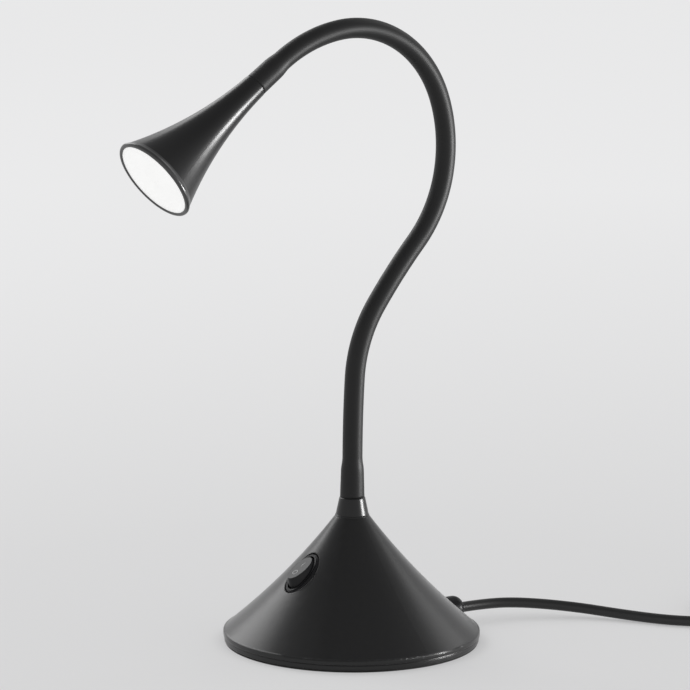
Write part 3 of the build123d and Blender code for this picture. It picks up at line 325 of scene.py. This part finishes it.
moulded_black = grained(
    "moulded_black",
    (0.010, 0.010, 0.011),
    roughness=0.36,
    scale=2400.0,
    depth=0.00002,
    wander=0.06,
    dust=0.03,
    Specular_IOR_Level=0.16,
)
rocker_black = grained(
    "rocker_black",
    (0.013, 0.013, 0.014),
    roughness=0.3,
    scale=1700.0,
    depth=0.00001,
    wander=0.05,
    dust=0.03,
    Specular_IOR_Level=0.22,
)
cord_sheath = grained(
    "cord_sheath",
    (0.010, 0.010, 0.010),
    roughness=0.36,
    scale=900.0,
    depth=0.00003,
    wander=0.08,
    dust=0.05,
)
foam_black = grained(
    "foam_black",
    (0.02, 0.02, 0.02),
    roughness=0.9,
    scale=1300.0,
    depth=0.0003,
    wander=0.1,
    dust=0.2,
)
EDGE_ROUNDING = 1.2 * MM


def round_edges(material, radius):
    """Lets light see the edges rounder than the solid has them, as a layer of coat makes them."""
    tree = material.node_tree
    bevel = add_node(tree, "ShaderNodeBevel", Radius=radius)
    tree.links.new(bevel.outputs["Normal"], tree.nodes["Bump"].inputs["Normal"])


round_edges(satin_coat, EDGE_ROUNDING)
dress(satin_coat, "base_shell")
dress(gloss_coat, "neck_collar", "shade")
dress(lip_coat, "lens_ring")
dress(moulded_black, "switch_body", "cord_bush", "rocker_plunger", "driver_tray")
dress(rocker_black, "rocker")
dress(cord_sheath, "mains_tail", "plug_body")
dress(foam_black, "base_pad")
print("materials:", len(bpy.data.materials))

# %% [markdown]
# ## Metals and the parts inside
# Nobody sees most of these until the lamp is opened, but they are real parts and each has its
# own finish: a rough casting for the weight, plain steel, brass that has been turned on a lathe,
# aluminium, a green board. Turned and brushed metal has fine scratches that run one way, so its
# noise is stretched.

# %% Metals and inner parts
ROUGHNESS_SPREAD = 0.08


def brushed(name, colour, roughness, stretch, depth=0.00002):
    """A metal with fine scratches along one direction."""
    material, shader = start_material(name, Metallic=1.0)
    tree = material.node_tree
    place = add_node(tree, "ShaderNodeTexCoord")
    squeeze = add_node(tree, "ShaderNodeMapping", Scale=stretch)
    tree.links.new(place.outputs["Object"], squeeze.inputs["Vector"])
    scratches = add_node(tree, "ShaderNodeTexNoise", Scale=400.0, Detail=4.0)
    tree.links.new(squeeze.outputs[0], scratches.inputs["Vector"])
    dull = tuple(c * 0.82 for c in colour)
    tree.links.new(ramp(tree, scratches.outputs["Fac"], dull, colour), shader.inputs["Base Color"])
    spread = add_node(
        tree,
        "ShaderNodeMapRange",
        To_Min=roughness - ROUGHNESS_SPREAD,
        To_Max=roughness + ROUGHNESS_SPREAD,
    )
    tree.links.new(scratches.outputs["Fac"], spread.inputs["Value"])
    tree.links.new(spread.outputs[0], shader.inputs["Roughness"])
    bump = add_node(tree, "ShaderNodeBump", Strength=0.4, Distance=depth)
    tree.links.new(scratches.outputs["Fac"], bump.inputs["Height"])
    tree.links.new(bump.outputs["Normal"], shader.inputs["Normal"])
    return material


steel = brushed("plain_steel", (0.52, 0.52, 0.53), roughness=0.34, stretch=(1, 12, 1))
brass = brushed("turned_brass", (0.78, 0.58, 0.26), roughness=0.28, stretch=(1, 1, 14))
nickel = brushed("nickel_pins", (0.66, 0.64, 0.6), roughness=0.22, stretch=(1, 12, 12))
aluminium = brushed("pressed_aluminium", (0.74, 0.74, 0.76), roughness=0.4, stretch=(6, 6, 1))
conduit_steel = brushed(
    "wound_conduit", (0.42, 0.42, 0.43), roughness=0.38, stretch=(1, 1, 9), depth=0.0002
)
casting = grained(
    "rough_casting", (0.045, 0.045, 0.05), roughness=0.7, scale=500.0, depth=0.0006, Metallic=0.6
)
green_board = grained(
    "green_board", (0.02, 0.13, 0.06), roughness=0.35, scale=300.0, depth=0.00003
)
tape_yellow = grained(
    "tape_yellow", (0.6, 0.42, 0.05), roughness=0.42, scale=160.0, depth=0.0001
)
off_white = grained(
    "off_white_plastic", (0.62, 0.61, 0.57), roughness=0.42, scale=700.0, depth=0.00003
)
white_mask = grained("white_mask", (0.82, 0.82, 0.8), roughness=0.4, scale=700.0, depth=0.00002)
phosphor = grained("phosphor", (0.75, 0.55, 0.08), roughness=0.35, scale=900.0, depth=0.00002)
wire_grey = grained("wire_grey", (0.16, 0.16, 0.17), roughness=0.45, scale=900.0, depth=0.00003)

dress(steel, "base_plate", "base_screws", "neck_washer")
dress(brass, "base_ferrule", "head_ferrule", "neck_nut", "head_nut")
dress(brass, "switch_terminals", "contact_lever")
dress(nickel, "plug_pins")
dress(casting, "base_weight")
dress(green_board, "driver_board")
dress(tape_yellow, "driver_transformer")
dress(moulded_black, "driver_capacitors")
dress(off_white, "terminal_block")
dress(white_mask, "led_board", "reflector")
dress(phosphor, "led_chips")
dress(aluminium, "heat_sink")
dress(wire_grey, "switch_leads")
dress(conduit_steel, *(name for name in nodes if name.startswith("conduit_")))
print("materials:", len(bpy.data.materials))

# %% [markdown]
# ## The opal window
# The window in the head is a disc of milky plastic with the lamp switched on behind it. Seen from
# outside it is an even white, a little softer towards the edge where the reflector ends. A
# gentle emission on a white base gives that without lighting up the rest of the scene.

# %% Opal window
def build_opal():
    """Milky plastic that glows evenly, with a faint cloudiness."""
    material, shader = start_material(
        "lit_opal", Roughness=0.35, Emission_Strength=0.42, IOR=1.49
    )
    tree = material.node_tree
    cloud = noise(tree, Scale=60.0, Detail=2.0)
    milk = ramp(tree, cloud.outputs["Fac"], (0.9, 0.9, 0.89), (0.96, 0.96, 0.95))
    tree.links.new(milk, shader.inputs["Base Color"])
    tree.links.new(milk, shader.inputs["Emission Color"])
    return material


dress(build_opal(), "diffuser")

# %% [markdown]
# ## The line of the neck
# The solids give the neck as eight short links, each a circular arc that touches the next one.
# That makes the line easy to recover: the first link starts straight up, and an arc leaves its
# chord by the same angle at both ends, so each hinge's direction follows from the one before.

# %% Follow the hinges
ACROSS = Vector((1, 0, 0))
BENDS = [joint for joint in frame["joints"] if "bend" in joint["name"]]
PIVOTS = [Vector(joint["pos_m"]) for joint in BENDS]


def heading(lean):
    """The way the neck points where it leans this far towards the front."""
    return Vector((0, -math.sin(lean), math.cos(lean)))


LEANS = [0.0]
for here, there in zip(PIVOTS, PIVOTS[1:]):
    chord = there - here
    LEANS.append(2 * math.atan2(-chord.y, chord.z) - LEANS[-1])
    if LEANS[-1] - LEANS[-2] > math.pi:
        LEANS[-1] -= 2 * math.pi
print("leans:", [round(math.degrees(lean), 1) for lean in LEANS])


def on_link(number, share):
    """The point and lean a share of the way along a link, from hinge to hinge."""
    start, end = PIVOTS[number], PIVOTS[number + 1]
    turned = LEANS[number + 1] - LEANS[number]
    half = turned / 2
    radius = (end - start).length / 2 / math.sin(half)
    lean = LEANS[number] + turned * share
    middle = start + heading(LEANS[number] + math.pi / 2) * radius
    return middle - heading(lean + math.pi / 2) * radius, lean


# %% [markdown]
# ## A tube along the line
# The real sleeve is one soft tube. One mesh can't cross nine hinges, so the tube is cut halfway
# along each link, where nothing bends, and each length covers a single hinge. The cuts meet
# ring to ring and don't show. The same function makes the flex inside the neck. A tube is rings of
# points joined by faces, and so are most of the small pieces further down, so the joining and the
# step from points to an object are helpers of their own.

# %% Tube mesh
RING_STEP = 1.5 * MM
SIDES = 64
HEAD_STEM = 22.0 * MM
collar_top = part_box("neck_collar")[1][2]
shade_end = PIVOTS[-1] + heading(LEANS[-1]) * HEAD_STEM


def ring_stations(number):
    """Points and leans for the length of neck about one hinge."""
    found = []
    if number == 0:
        rise = PIVOTS[0].z - collar_top
        count = round(rise / RING_STEP)
        found += [(Vector((0, 0, collar_top + rise * step / count)), 0.0) for step in range(count)]
    else:
        length = (PIVOTS[number] - PIVOTS[number - 1]).length / 2
        count = round(length / RING_STEP)
        found += [on_link(number - 1, 0.5 + 0.5 * step / count) for step in range(count)]
    if number == len(PIVOTS) - 1:
        count = round((shade_end - PIVOTS[-1]).length / RING_STEP)
        for step in range(count + 1):
            found.append((PIVOTS[-1].lerp(shade_end, step / count), LEANS[-1]))
    else:
        length = (PIVOTS[number + 1] - PIVOTS[number]).length / 2
        count = round(length / RING_STEP)
        found += [on_link(number, 0.5 * step / count) for step in range(count + 1)]
    return found


def circle_points(count):
    """Cosine and sine of evenly spaced angles round a circle."""
    angles = [2 * math.pi * step / count for step in range(count)]
    return [(math.cos(angle), math.sin(angle)) for angle in angles]


def join_loops(shape, loops, smooth=False):
    """Puts a band of faces between each loop of points and the next one."""
    for first, second in zip(loops, loops[1:]):
        for step in range(len(first)):
            after = (step + 1) % len(first)
            face = (first[step], first[after], second[after], second[step])
            shape.faces.new(face).smooth = smooth


def into_scene(name, shape):
    """Turns a finished bmesh into an object."""
    mesh = bpy.data.meshes.new(name)
    shape.to_mesh(mesh)
    shape.free()
    made = bpy.data.objects.new(name, mesh)
    scene.collection.objects.link(made)
    return made


def tube(name, stations, radius_at, closed=(False, False)):
    """A round tube through the stations, with smooth sides and flat closed ends where asked."""
    shape = bmesh.new()
    rings = []
    for point, lean in stations:
        radius = radius_at(point)
        side = heading(lean).cross(ACROSS)
        spots = [point + (ACROSS * x + side * y) * radius for x, y in circle_points(SIDES)]
        rings.append([shape.verts.new(spot) for spot in spots])
    join_loops(shape, rings, smooth=True)
    if closed[0]:
        shape.faces.new(reversed(rings[0]))
    if closed[1]:
        shape.faces.new(rings[-1])
    return into_scene(name, shape)


# %% [markdown]
# ## Sleeve
# At both ends the sleeve is pulled over a stiff metal fitting, and swells there: nearly straight
# over the fitting, then an easy shoulder down to the bare neck. The swell is worked out from the
# distance to the collar at the bottom and to the shade at the top.

# %% Sleeve lengths over the hinges
NECK_RADIUS = 6.05 * MM
CUFF_LENGTH = 15.7 * MM
CUFF_SHOULDER = 8.5 * MM
LOWER_CUFF = (7.4 * MM, 6.95 * MM)
UPPER_CUFF = (7.1 * MM, 6.9 * MM)
TOLD_FROM_ABOVE = 5


def smoothstep(share):
    """A share from 0 to 1, made to start and stop gently."""
    return share * share * (3 - 2 * share)


def cuff_radius(distance, cuff):
    """The sleeve's radius at a distance from the end of the fitting's collar or shade."""
    wide, narrow = cuff
    if distance < CUFF_LENGTH:
        return wide + (narrow - wide) * distance / CUFF_LENGTH
    share = min((distance - CUFF_LENGTH) / CUFF_SHOULDER, 1)
    return narrow + (NECK_RADIUS - narrow) * smoothstep(share)


def sleeve_radius(point):
    """The sleeve's radius at a point of its line."""
    low = cuff_radius((point - Vector((0, 0, collar_top))).length, LOWER_CUFF)
    high = cuff_radius((point - shade_end).length, UPPER_CUFF)
    return max(low, high)


def over_hinge(piece, number):
    """Bakes a finished piece's placement into its mesh. Nothing is bent here: both branches do the
    same.

    The sixth hinge has to be told from its upper side; in the other order the upper half of the
    piece flies off.
    """
    if number == TOLD_FROM_ABOVE:
        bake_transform(piece)
    else:
        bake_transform(piece)


for number in range(len(PIVOTS)):
    ends = (number == 0, number == len(PIVOTS) - 1)
    sleeve = tube(f"sleeve_over_hinge_{number + 1}", ring_stations(number), sleeve_radius, ends)
    dress(soft_sleeve, sleeve)
    over_hinge(sleeve, number)
    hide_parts(f"sleeve_{number}", f"sleeve_{number + 1}")

# %% [markdown]
# ## Flex inside the neck
# A thin two-core flex runs up the middle of the neck to the LEDs. It has to bend with the neck as
# well, or it would break through the sleeve when the lamp is posed, so it is made the same way.
# Its ends go straight on, down to the terminal block and up to the LED board.

# %% Flex lengths over the hinges
FLEX_RADIUS = 1.5 * MM
BOARD_GAP = 0.8 * MM
flex_bottom = Vector((0, 0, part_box("terminal_block")[1][2]))
led_middle = sum((Vector(corner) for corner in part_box("led_board")), Vector()) / 2
flex_reach = (led_middle - PIVOTS[-1]).length - BOARD_GAP
flex_top = PIVOTS[-1] + heading(LEANS[-1]) * flex_reach

for number in range(len(PIVOTS)):
    stations = ring_stations(number)
    if number == 0:
        stations = [(flex_bottom, 0.0)] + stations
    if number == len(PIVOTS) - 1:
        stations.append((flex_top, LEANS[-1]))
    flex = tube(f"flex_over_hinge_{number + 1}", stations, lambda point: FLEX_RADIUS, (True, True))
    dress(wire_grey, flex)
    over_hinge(flex, number)
    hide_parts("neck_lead")
print("neck pieces:", 2 * len(PIVOTS))

# %% [markdown]
# ## The cord
# About 1.8 metres of round black flex. It comes straight out of its bush, sinks to the table
# within a hand's width, wanders off in one lazy curve, and is then wound into a flat coil of four
# turns under four, with the plug beside it. The whole cord is one curve. Its loose part is a
# handful of listed points, and the coil is a loop: each turn is a circle that steps over
# to the next one within a fifth of its round, always at the same place, so that the turns stay
# side by side. The turns get smaller on the table, and larger again in the layer above.

# %% Route of the cord
CORD_RADIUS = 3.2 * MM
CORD_EXIT = Vector((4.083, 80.597, 9.3)) * MM
LOOSE_ROUTE = [
    (5.095, 100.571, 9.3),
    (14.0, 121.0, 8.8),
    (33.0, 147.0, 6.0),
    (60.0, 165.5, 3.7),
    (84.0, 179.5, 3.2),
    (100.2, 195.1, 3.2),
    (116.5, 211.5, 3.2),
]
COIL_MIDDLE = Vector((98.5, 256.3, 0)) * MM
COIL_RADII = [44.1 * MM, 37.7 * MM, 31.3 * MM, 24.9 * MM]
COIL_STARTS = -42
COIL_ENDS = 75
POINTS_PER_TURN = 18
STEP_IN = (285, 360)
STEP_OUT = (205, 280)
PLUG_REAR = Vector((70.0, 306.5, 6.85)) * MM
TAIL_ROUTE = [Vector((86.0, 306.5, 6.85)) * MM, PLUG_REAR]


def eased(angle, span):
    """How far a step from one turn to the next has got, from 0 to 1."""
    return smoothstep(min(max((angle - span[0]) / (span[1] - span[0]), 0), 1))


def coil_place(travelled):
    """Radius and height of the cord after so many degrees of coil."""
    lap, angle = int(travelled // 360), travelled % 360
    low, high = CORD_RADIUS, 3 * CORD_RADIUS
    last = len(COIL_RADII) - 1
    if lap < last:
        share = eased(angle, STEP_IN)
        return COIL_RADII[lap] * (1 - share) + COIL_RADII[lap + 1] * share, low
    if lap == last:
        return COIL_RADII[last], low + (high - low) * eased(angle, STEP_OUT)
    share = eased(angle, STEP_OUT)
    turn_now = max(2 * last + 1 - lap, 0)
    turn_next = max(turn_now - 1, 0)
    return COIL_RADII[turn_now] * (1 - share) + COIL_RADII[turn_next] * share, high


def coil_route():
    """Control points of the coil, set out a little so that the curve itself has the radius."""
    laps = 2 * len(COIL_RADII) - 1
    total = 360 * laps + (COIL_ENDS - COIL_STARTS)
    count = round(total / 360 * POINTS_PER_TURN)
    outset = 1 / math.cos(math.pi / POINTS_PER_TURN)
    points = []
    for step in range(count + 1):
        travelled = total * step / count
        radius, height = coil_place(travelled)
        angle = math.radians(COIL_STARTS + travelled)
        reach = Vector((math.cos(angle), math.sin(angle), 0)) * radius * outset
        points.append(COIL_MIDDLE + reach + Vector((0, 0, height)))
    return points


# %% [markdown]
# ## Cord as a curve
# A second-degree spline is smooth and never swings outside its control points, which keeps the
# cord on the table and the turns apart. The bevel gives it thickness. Its order is set after the
# points exist, or Blender quietly leaves it as straight runs.

# %% Cord curve
def smooth_curve(name, points, radius):
    """A round cord along one smooth curve."""
    curve = bpy.data.curves.new(name, "CURVE")
    curve.dimensions = "3D"
    curve.bevel_depth = radius
    curve.bevel_resolution = 6
    curve.resolution_u = 6
    curve.use_fill_caps = True
    spline = curve.splines.new("NURBS")
    spline.points.add(len(points) - 1)
    for knot, point in zip(spline.points, points):
        knot.co = (*point, 1)
    spline.order_u = 3
    spline.use_endpoint_u = True
    made = bpy.data.objects.new(name, curve)
    scene.collection.objects.link(made)
    return made


route = [CORD_EXIT, *(Vector(point) * MM for point in LOOSE_ROUTE)]
route += coil_route() + TAIL_ROUTE
mains_cord = smooth_curve("mains_cord", route, CORD_RADIUS)
mains_cord.data.materials.append(cord_sheath)
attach(mains_cord, "base")
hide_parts("cord", "cord_coil")
print("control points:", len(route))

# %% [markdown]
# ## Tie and plug
# A soft strap with a rounded cross-section holds the coil together. The plug is a flat moulding
# with a ribbed sleeve behind it, which keeps the cord from kinking. The ribs are rings that stand
# a little proud of the tapered sleeve.

# %% Coil tie
TIE_AT = math.radians(200)
TIE_WIDTH = 9 * MM
TIE_THICKNESS = 0.9 * MM
TIE_CORNER = 2.9 * MM
TIE_EDGE = 0.25 * MM


def rounded_box_outline(width, height, corner, steps=8):
    """Points round a rectangle with rounded corners, about its middle."""
    outline = []
    for quarter, (sx, sy) in enumerate(((1, 1), (-1, 1), (-1, -1), (1, -1))):
        for step in range(steps + 1):
            angle = math.pi / 2 * (quarter + step / steps)
            outline.append(
                (
                    sx * (width / 2 - corner) + corner * math.cos(angle),
                    sy * (height / 2 - corner) + corner * math.sin(angle),
                )
            )
    return outline


def build_tie():
    """A strap round all the turns, flat, with softened edges."""
    out = Vector((math.cos(TIE_AT), math.sin(TIE_AT), 0))
    along = Vector((-out.y, out.x, 0))
    middle = COIL_MIDDLE + out * (COIL_RADII[0] + COIL_RADII[-1]) / 2
    middle += Vector((0, 0, 2 * CORD_RADIUS + TIE_THICKNESS / 2))
    width = COIL_RADII[0] - COIL_RADII[-1] + 2 * CORD_RADIUS + 2 * TIE_THICKNESS
    height = 4 * CORD_RADIUS + TIE_THICKNESS
    outer = rounded_box_outline(width, height, TIE_CORNER)
    inner = rounded_box_outline(
        width - 2 * TIE_THICKNESS, height - 2 * TIE_THICKNESS, TIE_CORNER - TIE_THICKNESS
    )
    shape = bmesh.new()
    loops = []
    for outline, shift in ((outer, -1), (outer, 1), (inner, 1), (inner, -1)):
        side = middle + along * shift * TIE_WIDTH / 2
        spots = [side + out * across + Vector((0, 0, up)) for across, up in outline]
        loops.append([shape.verts.new(spot) for spot in spots])
    join_loops(shape, loops + loops[:1])
    bmesh.ops.recalc_face_normals(shape, faces=shape.faces)
    made = into_scene("coil_tie", shape)
    soften = made.modifiers.new("soft edges", "BEVEL")
    soften.width = TIE_EDGE
    soften.segments = 3
    return made


coil_tie = build_tie()
dress(soft_sleeve, coil_tie)
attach(coil_tie, "base")
print("tie:", [round(side / MM, 1) for side in coil_tie.dimensions], "mm")

# %% Ribs on the plug's sleeve
RIB_COUNT = 6
RIB_START = 3.0 * MM
RIB_STEP = 2.6 * MM
RIB_RADIUS = 0.45 * MM
SLEEVE_REAR_RADIUS = 3.9 * MM
SLEEVE_GROWTH = 1.1 * MM
SLEEVE_LENGTH = 20 * MM


def ring_about(name, middle, axis, radius, thickness, around=48, section=12):
    """A plain torus about an axis."""
    shape = bmesh.new()
    axis = axis.normalized()
    one = axis.orthogonal().normalized()
    two = axis.cross(one)
    loops = []
    for x, y in circle_points(around):
        out = one * x + two * y
        spots = [
            middle + out * (radius + thickness * outward) + axis * thickness * sideways
            for outward, sideways in circle_points(section)
        ]
        loops.append([shape.verts.new(spot) for spot in spots])
    join_loops(shape, loops + loops[:1], smooth=True)
    bmesh.ops.recalc_face_normals(shape, faces=shape.faces)
    return into_scene(name, shape)


for number in range(RIB_COUNT):
    along = RIB_START + number * RIB_STEP
    middle = PLUG_REAR - Vector((along, 0, 0))
    radius = SLEEVE_REAR_RADIUS + SLEEVE_GROWTH * along / SLEEVE_LENGTH
    rib = ring_about(f"plug_rib_{number + 1}", middle, ACROSS, radius, RIB_RADIUS)
    dress(cord_sheath, rib)
    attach(rib, "base")

# %% [markdown]
# ## What kind of cord it is
# The curve is one pose of something limp.

# %% [markdown]
# ## Marks on the rocker
# A bar for on and a ring for off, the marks that most rocker switches carry. On the real part
# they are moulded just proud of the face and are hardly paler than the plastic. They are thin
# closed shapes on the rocker's flat face, and they tilt with it.

# %% Rocker marks
ROCKER_FACE = 7.0 * MM
ROCKER_ANGLE = math.radians(13)
FLANK_SLOPE = math.radians(42.44)
MARK_RISE = 0.05 * MM
BAR_SIZE = (0.7 * MM, 3.5 * MM)
BAR_CORNER = 0.25 * MM
BAR_HEIGHT = 2.9 * MM
RING_RADII = (1.9 * MM, 1.3 * MM)
RING_HEIGHT = -3.9 * MM
rocker_joint = joints["rocker_tilt"]
rocker_pivot = Vector(rocker_joint["pos_m"])
rocker_across = Vector(rocker_joint["axis"]).normalized()
switch_front = Vector((0, 0, 1)).cross(rocker_across)
rocker_normal = Matrix.Rotation(-ROCKER_ANGLE, 3, rocker_across) @ (
    Vector((0, 0, 1)) * math.sin(FLANK_SLOPE) - switch_front * math.cos(FLANK_SLOPE)
)
rocker_up = rocker_normal.cross(rocker_across)
face_middle = rocker_pivot + rocker_normal * ROCKER_FACE
print("rocker faces", [round(c, 3) for c in rocker_normal])


def mark_on_rocker(name, outer, inner, height):
    """A thin raised outline on the rocker's face, solid or with a hole."""
    shape = bmesh.new()
    lift = rocker_normal * MARK_RISE
    middle = face_middle + rocker_up * height

    def loop(outline, offset):
        spots = [middle + rocker_across * x + rocker_up * y + offset for x, y in outline]
        return [shape.verts.new(spot) for spot in spots]

    bottom, top = loop(outer, -lift), loop(outer, lift)
    if inner:
        hole_bottom, hole_top = loop(inner, -lift), loop(inner, lift)
        join_loops(shape, [bottom, top, hole_top, hole_bottom, bottom])
    else:
        join_loops(shape, [bottom, top])
        shape.faces.new(top)
        shape.faces.new(reversed(bottom))
    bmesh.ops.recalc_face_normals(shape, faces=shape.faces)
    made = into_scene(name, shape)
    dress(mark_grey, made)
    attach(made, "rocker")


def circle_outline(radius, count=40):
    """Points round a circle about its middle."""
    return [(radius * x, radius * y) for x, y in circle_points(count)]


mark_grey = grained(
    "mark_grey", (0.26, 0.26, 0.26), roughness=0.4, scale=1500.0, depth=0.00001, dust=0.0
)
bar = rounded_box_outline(*BAR_SIZE, BAR_CORNER, steps=3)
mark_on_rocker("mark_on", bar, None, BAR_HEIGHT)
ring_outer, ring_inner = (circle_outline(radius) for radius in RING_RADII)
mark_on_rocker("mark_off", ring_outer, ring_inner, RING_HEIGHT)

# %% [markdown]
# ## Floor and light
# A pale table top and an even, soft room. Black objects are shaped by what they reflect, so the
# lights are placed where their reflections draw the forms: a broad one behind on the left gives
# the cone its soft sheen, a narrow window on the right draws a thin line down the collar and
# along the head, and a weaker one behind on the right lifts the other flank. The floor is wide
# enough that no camera sees its edge.

# %% Floor
FLOOR_SIZE = 30.0
SEEN_PALE = (0.83, 0.83, 0.835, 1)
EVEN_SHARES = (0.42, 0.95)
EVEN_REACH = (0.3, 1.9)


def seen_directly(tree):
    """1 for camera, glossy and transmission rays, 0 for the rays that carry light."""
    path = tree.nodes.new("ShaderNodeLightPath")
    found = path.outputs["Is Camera Ray"]
    for name in ("Is Glossy Ray", "Is Transmission Ray"):
        found = combine(tree, "MAXIMUM", found, path.outputs[name])
    return found


def build_floor():
    """A wide table top. Part of its tone is given evenly, so that it doesn't fade far away."""
    shape = bmesh.new()
    bmesh.ops.create_grid(shape, x_segments=2, y_segments=2, size=FLOOR_SIZE / 2)
    made = into_scene("table", shape)
    material, shader = start_material(
        "pale_table", Base_Color=(0.72, 0.72, 0.725, 1), Roughness=0.6, Specular_IOR_Level=0.0
    )
    tree = material.node_tree
    even = add_node(tree, "ShaderNodeEmission", Color=SEEN_PALE, Strength=1.0)
    place = tree.nodes.new("ShaderNodeTexCoord")
    away = tree.nodes.new("ShaderNodeVectorMath")
    away.operation = "LENGTH"
    tree.links.new(place.outputs["Object"], away.inputs[0])
    even_share = add_node(
        tree,
        "ShaderNodeMapRange",
        From_Min=EVEN_REACH[0],
        From_Max=EVEN_REACH[1],
        To_Min=EVEN_SHARES[0],
        To_Max=EVEN_SHARES[1],
    )
    tree.links.new(away.outputs["Value"], even_share.inputs["Value"])
    share = combine(tree, "MULTIPLY", seen_directly(tree), even_share.outputs["Result"])
    mix = tree.nodes.new("ShaderNodeMixShader")
    tree.links.new(share, mix.inputs[0])
    tree.links.new(shader.outputs[0], mix.inputs[1])
    tree.links.new(even.outputs[0], mix.inputs[2])
    tree.links.new(mix.outputs[0], tree.nodes["Material Output"].inputs["Surface"])
    made.data.materials.append(material)


build_floor()
print("table:", FLOOR_SIZE, "m wide")

# %% Lights
LAMP_MIDDLE = (0, 0, 0.18)
BASE_AND_HEAD = (0, 0, 0.155)


def softbox(name, azimuth, elevation, distance, size, power, aim=LAMP_MIDDLE):
    """A rectangular light on a sphere about the lamp. Azimuth is anticlockwise from the front."""
    light = bpy.data.lights.new(name, "AREA")
    light.shape = "RECTANGLE"
    light.size, light.size_y = size
    light.energy = power
    made = bpy.data.objects.new(name, light)
    scene.collection.objects.link(made)
    a, e = math.radians(azimuth), math.radians(elevation)
    out = Vector((math.sin(a) * math.cos(e), -math.cos(a) * math.cos(e), math.sin(e)))
    made.location = Vector(aim) + out * distance
    made.rotation_euler = (-out).to_track_quat("-Z", "Y").to_euler()
    made.visible_camera = False
    return made


softbox("light_left_back", -90, 31, distance=2.6, size=(1.7, 1.5), power=20)
softbox("light_right_back", -172, 34, distance=2.6, size=(1.0, 1.0), power=4)
window = softbox(
    "window_right", 142, 0, distance=1.15, size=(0.22, 0.28), power=14, aim=BASE_AND_HEAD
)
window.visible_diffuse = False
print("lights:", [light.name for light in bpy.data.lights])

# %% World
ROOM_LIGHT = 0.62
PALE_HORIZON = (0.78, 0.78, 0.785)
DIM_ZENITH = (0.34, 0.34, 0.345)
FADE_HEIGHTS = (0.1, 0.8)


def build_world():
    """A soft room: pale walls that turn darker towards the ceiling, where black would show grey."""
    world = bpy.data.worlds.new("pale_room")
    world.use_nodes = True
    tree = world.node_tree
    tree.nodes.clear()
    output = tree.nodes.new("ShaderNodeOutputWorld")
    room = add_node(tree, "ShaderNodeBackground", Color=(1, 1, 1, 1), Strength=ROOM_LIGHT)
    direction = tree.nodes.new("ShaderNodeTexCoord")
    split = tree.nodes.new("ShaderNodeSeparateXYZ")
    tree.links.new(direction.outputs["Generated"], split.inputs[0])
    walls = ramp(tree, split.outputs["Z"], PALE_HORIZON, DIM_ZENITH, FADE_HEIGHTS)
    seen = add_node(tree, "ShaderNodeBackground", Strength=1.0)
    tree.links.new(walls, seen.inputs["Color"])
    mix = tree.nodes.new("ShaderNodeMixShader")
    tree.links.new(seen_directly(tree), mix.inputs[0])
    tree.links.new(room.outputs[0], mix.inputs[1])
    tree.links.new(seen.outputs[0], mix.inputs[2])
    tree.links.new(mix.outputs[0], output.inputs["Surface"])
    scene.world = world


build_world()
scene.view_settings.view_transform = "Standard"
